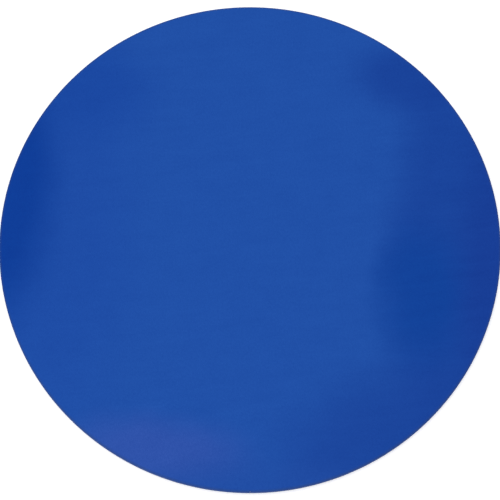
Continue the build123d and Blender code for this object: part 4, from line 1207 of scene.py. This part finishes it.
def grip_outline(bore, outer, length):
    """Section of the grip's wall, with a groove between each rib and the next."""
    points = [(bore, 0), (outer - 0.3 * MM, 0), (outer, 0.4 * MM)]
    ribs = int(length / GRIP_RIB_PITCH)
    for k in range(1, ribs):
        points += [(outer - into * MM, length * k / ribs + along * MM) for along, into in GRIP_GROOVE]
    return points + [
        (outer, length - 0.4 * MM), (outer - 0.3 * MM, length), (bore, length), (bore, 0)]


class TABLETOP_OT_feet(bpy.types.Operator):
    """Makes the moulded rubber feet"""

    bl_idname = "tabletop.feet"
    bl_label = "Rubber feet"

    def execute(self, context):
        rubber = rubber_material(context.scene.tabletop_underside)
        for name in SIDES:
            bm = bmesh.new()
            for low, high in islands(f"{name}_feet"):
                centre = Vector(((low.x + high.x) / 2, (low.y + high.y) / 2, low.z))
                outline = foot_outline((high.x - low.x) / 2, high.z - low.z)
                turned_piece(bm, outline, centre, UP, FOOT_STEPS)
            feet = eased(paint(piece_from(bm, f"{name}_rubber_feet"), rubber), FOOT_EASE, 40)
            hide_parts(f"{name}_feet")
            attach(feet, f"{name}_half")
        return {"FINISHED"}


class TABLETOP_OT_grip(bpy.types.Operator):
    """Makes the ribbed vinyl grip on the drop handle"""

    bl_idname = "tabletop.grip"
    bl_label = "Handle grip"

    def execute(self, context):
        low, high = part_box("handle_sleeve")
        bail_low, bail_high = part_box("handle_bail")
        bore = (bail_high.z - bail_low.z) / 2 + GRIP_BORE_GAP
        bm = bmesh.new()
        centre = Vector(((low.x + high.x) / 2, low.y, (low.z + high.z) / 2))
        outline = grip_outline(bore, (high.z - low.z) / 2, high.y - low.y)
        turned_piece(bm, outline, centre, Vector((0, 1, 0)), GRIP_STEPS)
        grip = eased(paint(piece_from(bm, "ribbed_grip"), vinyl_material()), GRIP_EASE, 30)
        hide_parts("handle_sleeve")
        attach(grip, "handle")
        return {"FINISHED"}


# ---------------------------------------------------------------- finishes of the CAD nodes
# Each metal's colour setting, how its scratches are drawn out, its roughness and the spread of that, its
# stain, and the nodes that have it.
METALS = {
    "Machined brass": (
        "brass", (2500, 60, 2500), 0.3, 0.25, BRASS_STAIN, ("left_hinge_bodies", "right_hinge_bodies")),
    "Brass screws": (
        "brass", (900, 900, 900), 0.34, 0.2, SCREW_STAIN, ("left_hinge_screws", "right_hinge_screws")),
    "Drawn steel": (
        "steel", (60, 2500, 2500), 0.27, 0.3, STEEL_STAIN,
        ("left_hinge_pins", "left_guide_pins", "right_hinge_pins", "right_guide_pins", "front_slide_bolt",
         "rear_slide_bolt", "handle_bail", "strap_pins")),
    "Pressed steel links": (
        "steel", (900, 900, 400), 0.36, 0.3, STEEL_STAIN, ("left_hinge_links", "right_hinge_links")),
    "Satin nickel": (
        "nickel", (1800, 70, 1800), 0.34, 0.3, STEEL_STAIN,
        ("bolt_guides", "bolt_keepers", "handle_brackets", "strap_brackets")),
    "Zinc plate": (
        "zinc", (700, 700, 700), 0.3, 0.3, ZINC_STAIN,
        ("left_staples", "left_foot_screws", "right_staples", "right_foot_screws", "bolt_guide_screws",
         "keeper_screws", "handle_screws", "strap_bracket_screws")),
}


class TABLETOP_OT_woodwork(bpy.types.Operator):
    """Finishes the plywood boards and their hardwood edge bands"""

    bl_idname = "tabletop.woodwork"
    bl_label = "Woodwork"

    def execute(self, context):
        settings = context.scene.tabletop_woodwork
        finish_nodes(plywood_material(settings), "left_board", "right_board")
        finish_nodes(hardwood_material(settings), "left_edge_band", "right_edge_band")
        return {"FINISHED"}


class TABLETOP_OT_hardware(bpy.types.Operator):
    """Finishes the hinges, bolts, brackets, screws and staples"""

    bl_idname = "tabletop.hardware"
    bl_label = "Hardware"

    def execute(self, context):
        settings = context.scene.tabletop_hardware
        for name, (colour, stretch, base, spread, stain, nodes) in METALS.items():
            finish_nodes(metal_material(name, getattr(settings, colour), stretch, base, spread, stain), *nodes)
        return {"FINISHED"}


# ---------------------------------------------------------------- stage
SENSOR_WIDTH = 36               # in millimetres, like the lens
KEY_PLACE, KEY_SIZE = (-1.2, -0.8, 3.4), 3.2
FILL_PLACE, FILL_SIZE, FILL_SHARE = (2.2, 1.6, 2.8), 3.0, 0.45
FLOOR_HALF_WIDTH, FLOOR_DROP = 9, 0.1 * MM


def add_light(name, energy, size, place, target):
    light = bpy.data.lights.new(name, "AREA")
    light.energy, light.size = energy, size
    lamp = bpy.data.objects.new(name, light)
    lamp.location = place
    lamp.rotation_euler = (target - Vector(place)).to_track_quat("-Z", "Y").to_euler()
    bpy.context.scene.collection.objects.link(lamp)


class TABLETOP_OT_stage(bpy.types.Operator):
    """Sets the camera, soft lights and pale floor"""

    bl_idname = "tabletop.stage"
    bl_label = "Stage"

    def execute(self, context):
        settings = context.scene.tabletop_stage
        scene = context.scene
        centre = Vector((0, 0, (CLOTH_LOW.z + CLOTH_HIGH.z) / 2))
        data = bpy.data.cameras.new("Camera")
        data.lens, data.sensor_width, data.clip_end = settings.lens, SENSOR_WIDTH, 100
        camera = bpy.data.objects.new("Camera", data)
        scene.collection.objects.link(camera)
        back = Vector((0, -cos(settings.elevation), sin(settings.elevation)))
        half_view = SENSOR_WIDTH / 2 / settings.lens
        camera.location = centre + back * (TOP_RADIUS / (settings.fill * half_view))
        edges = (Vector((0, -TOP_RADIUS, CLOTH_LOW.z)), Vector((0, TOP_RADIUS, CLOTH_HIGH.z)))
        aim = sum(((edge - camera.location).normalized() for edge in edges), Vector())
        camera.rotation_euler = aim.to_track_quat("-Z", "Y").to_euler()
        scene.camera = camera
        self.add_floor(settings)
        add_light("Key", settings.key, KEY_SIZE, KEY_PLACE, centre)
        add_light("Fill", settings.key * FILL_SHARE, FILL_SIZE, FILL_PLACE, centre)
        world = bpy.data.worlds.new("Soft light")
        world.use_nodes = True
        background = world.node_tree.nodes["Background"].inputs
        background["Color"].default_value = (1, 1, 1, 1)
        background["Strength"].default_value = settings.surround
        scene.world = world
        scene.view_settings.view_transform = "Standard"
        return {"FINISHED"}

    def add_floor(self, settings):
        bm = bmesh.new()
        bmesh.ops.create_grid(bm, x_segments=8, y_segments=8, size=FLOOR_HALF_WIDTH)
        bmesh.ops.translate(bm, verts=bm.verts, vec=(0, 0, CAD_BOX[0].z - FLOOR_DROP))
        paint(piece_from(bm, "floor", facing=UP), floor_material(settings))


class TABLETOP_PT_panel(bpy.types.Panel):
    """The table top's pieces, in the order that they are built"""

    bl_label = "Table Top"
    bl_idname = "TABLETOP_PT_panel"
    bl_space_type = "VIEW_3D"
    bl_region_type = "UI"
    bl_category = "Table Top"

    def draw(self, context):
        for operator in OPERATORS:
            self.layout.operator(operator.bl_idname)
        for name in SETTINGS:
            box = self.layout.box()
            group = getattr(context.scene, name)
            for key in group.bl_rna.properties.keys():
                if key not in ("rna_type", "name"):
                    box.prop(group, key)


OPERATORS = (
    TABLETOP_OT_stage, TABLETOP_OT_foam, TABLETOP_OT_playing_cloth, TABLETOP_OT_lining, TABLETOP_OT_straps,
    TABLETOP_OT_loop_patches, TABLETOP_OT_feet, TABLETOP_OT_grip, TABLETOP_OT_woodwork, TABLETOP_OT_hardware,
)
SETTINGS = {
    "tabletop_cloth": ClothSettings, "tabletop_underside": UndersideSettings,
    "tabletop_woodwork": WoodworkSettings, "tabletop_hardware": HardwareSettings,
    "tabletop_stage": StageSettings,
}
EFFECTS = {
    "Soft patch": soft_patch_group, "Drag lines": drag_lines_group, "Felt nap": nap_group, "Weave": weave_group,
    "Wood grain": wood_group, "Plies": plies_group, "Brushed metal": brushed_group, "Handling wear": wear_group,
    "Dust": dust_group,
}


def register():
    for item in (*SETTINGS.values(), *OPERATORS, TABLETOP_PT_panel):
        bpy.utils.register_class(item)
    for name, group in SETTINGS.items():
        setattr(bpy.types.Scene, name, PointerProperty(type=group))


def unregister():
    for name in SETTINGS:
        delattr(bpy.types.Scene, name)
    for item in (TABLETOP_PT_panel, *reversed(OPERATORS), *SETTINGS.values()):
        bpy.utils.unregister_class(item)


def main():
    register()
    for operator in OPERATORS:
        module, name = operator.bl_idname.split(".")
        getattr(getattr(bpy.ops, module), name)()


if __name__ == "__main__":
    main()
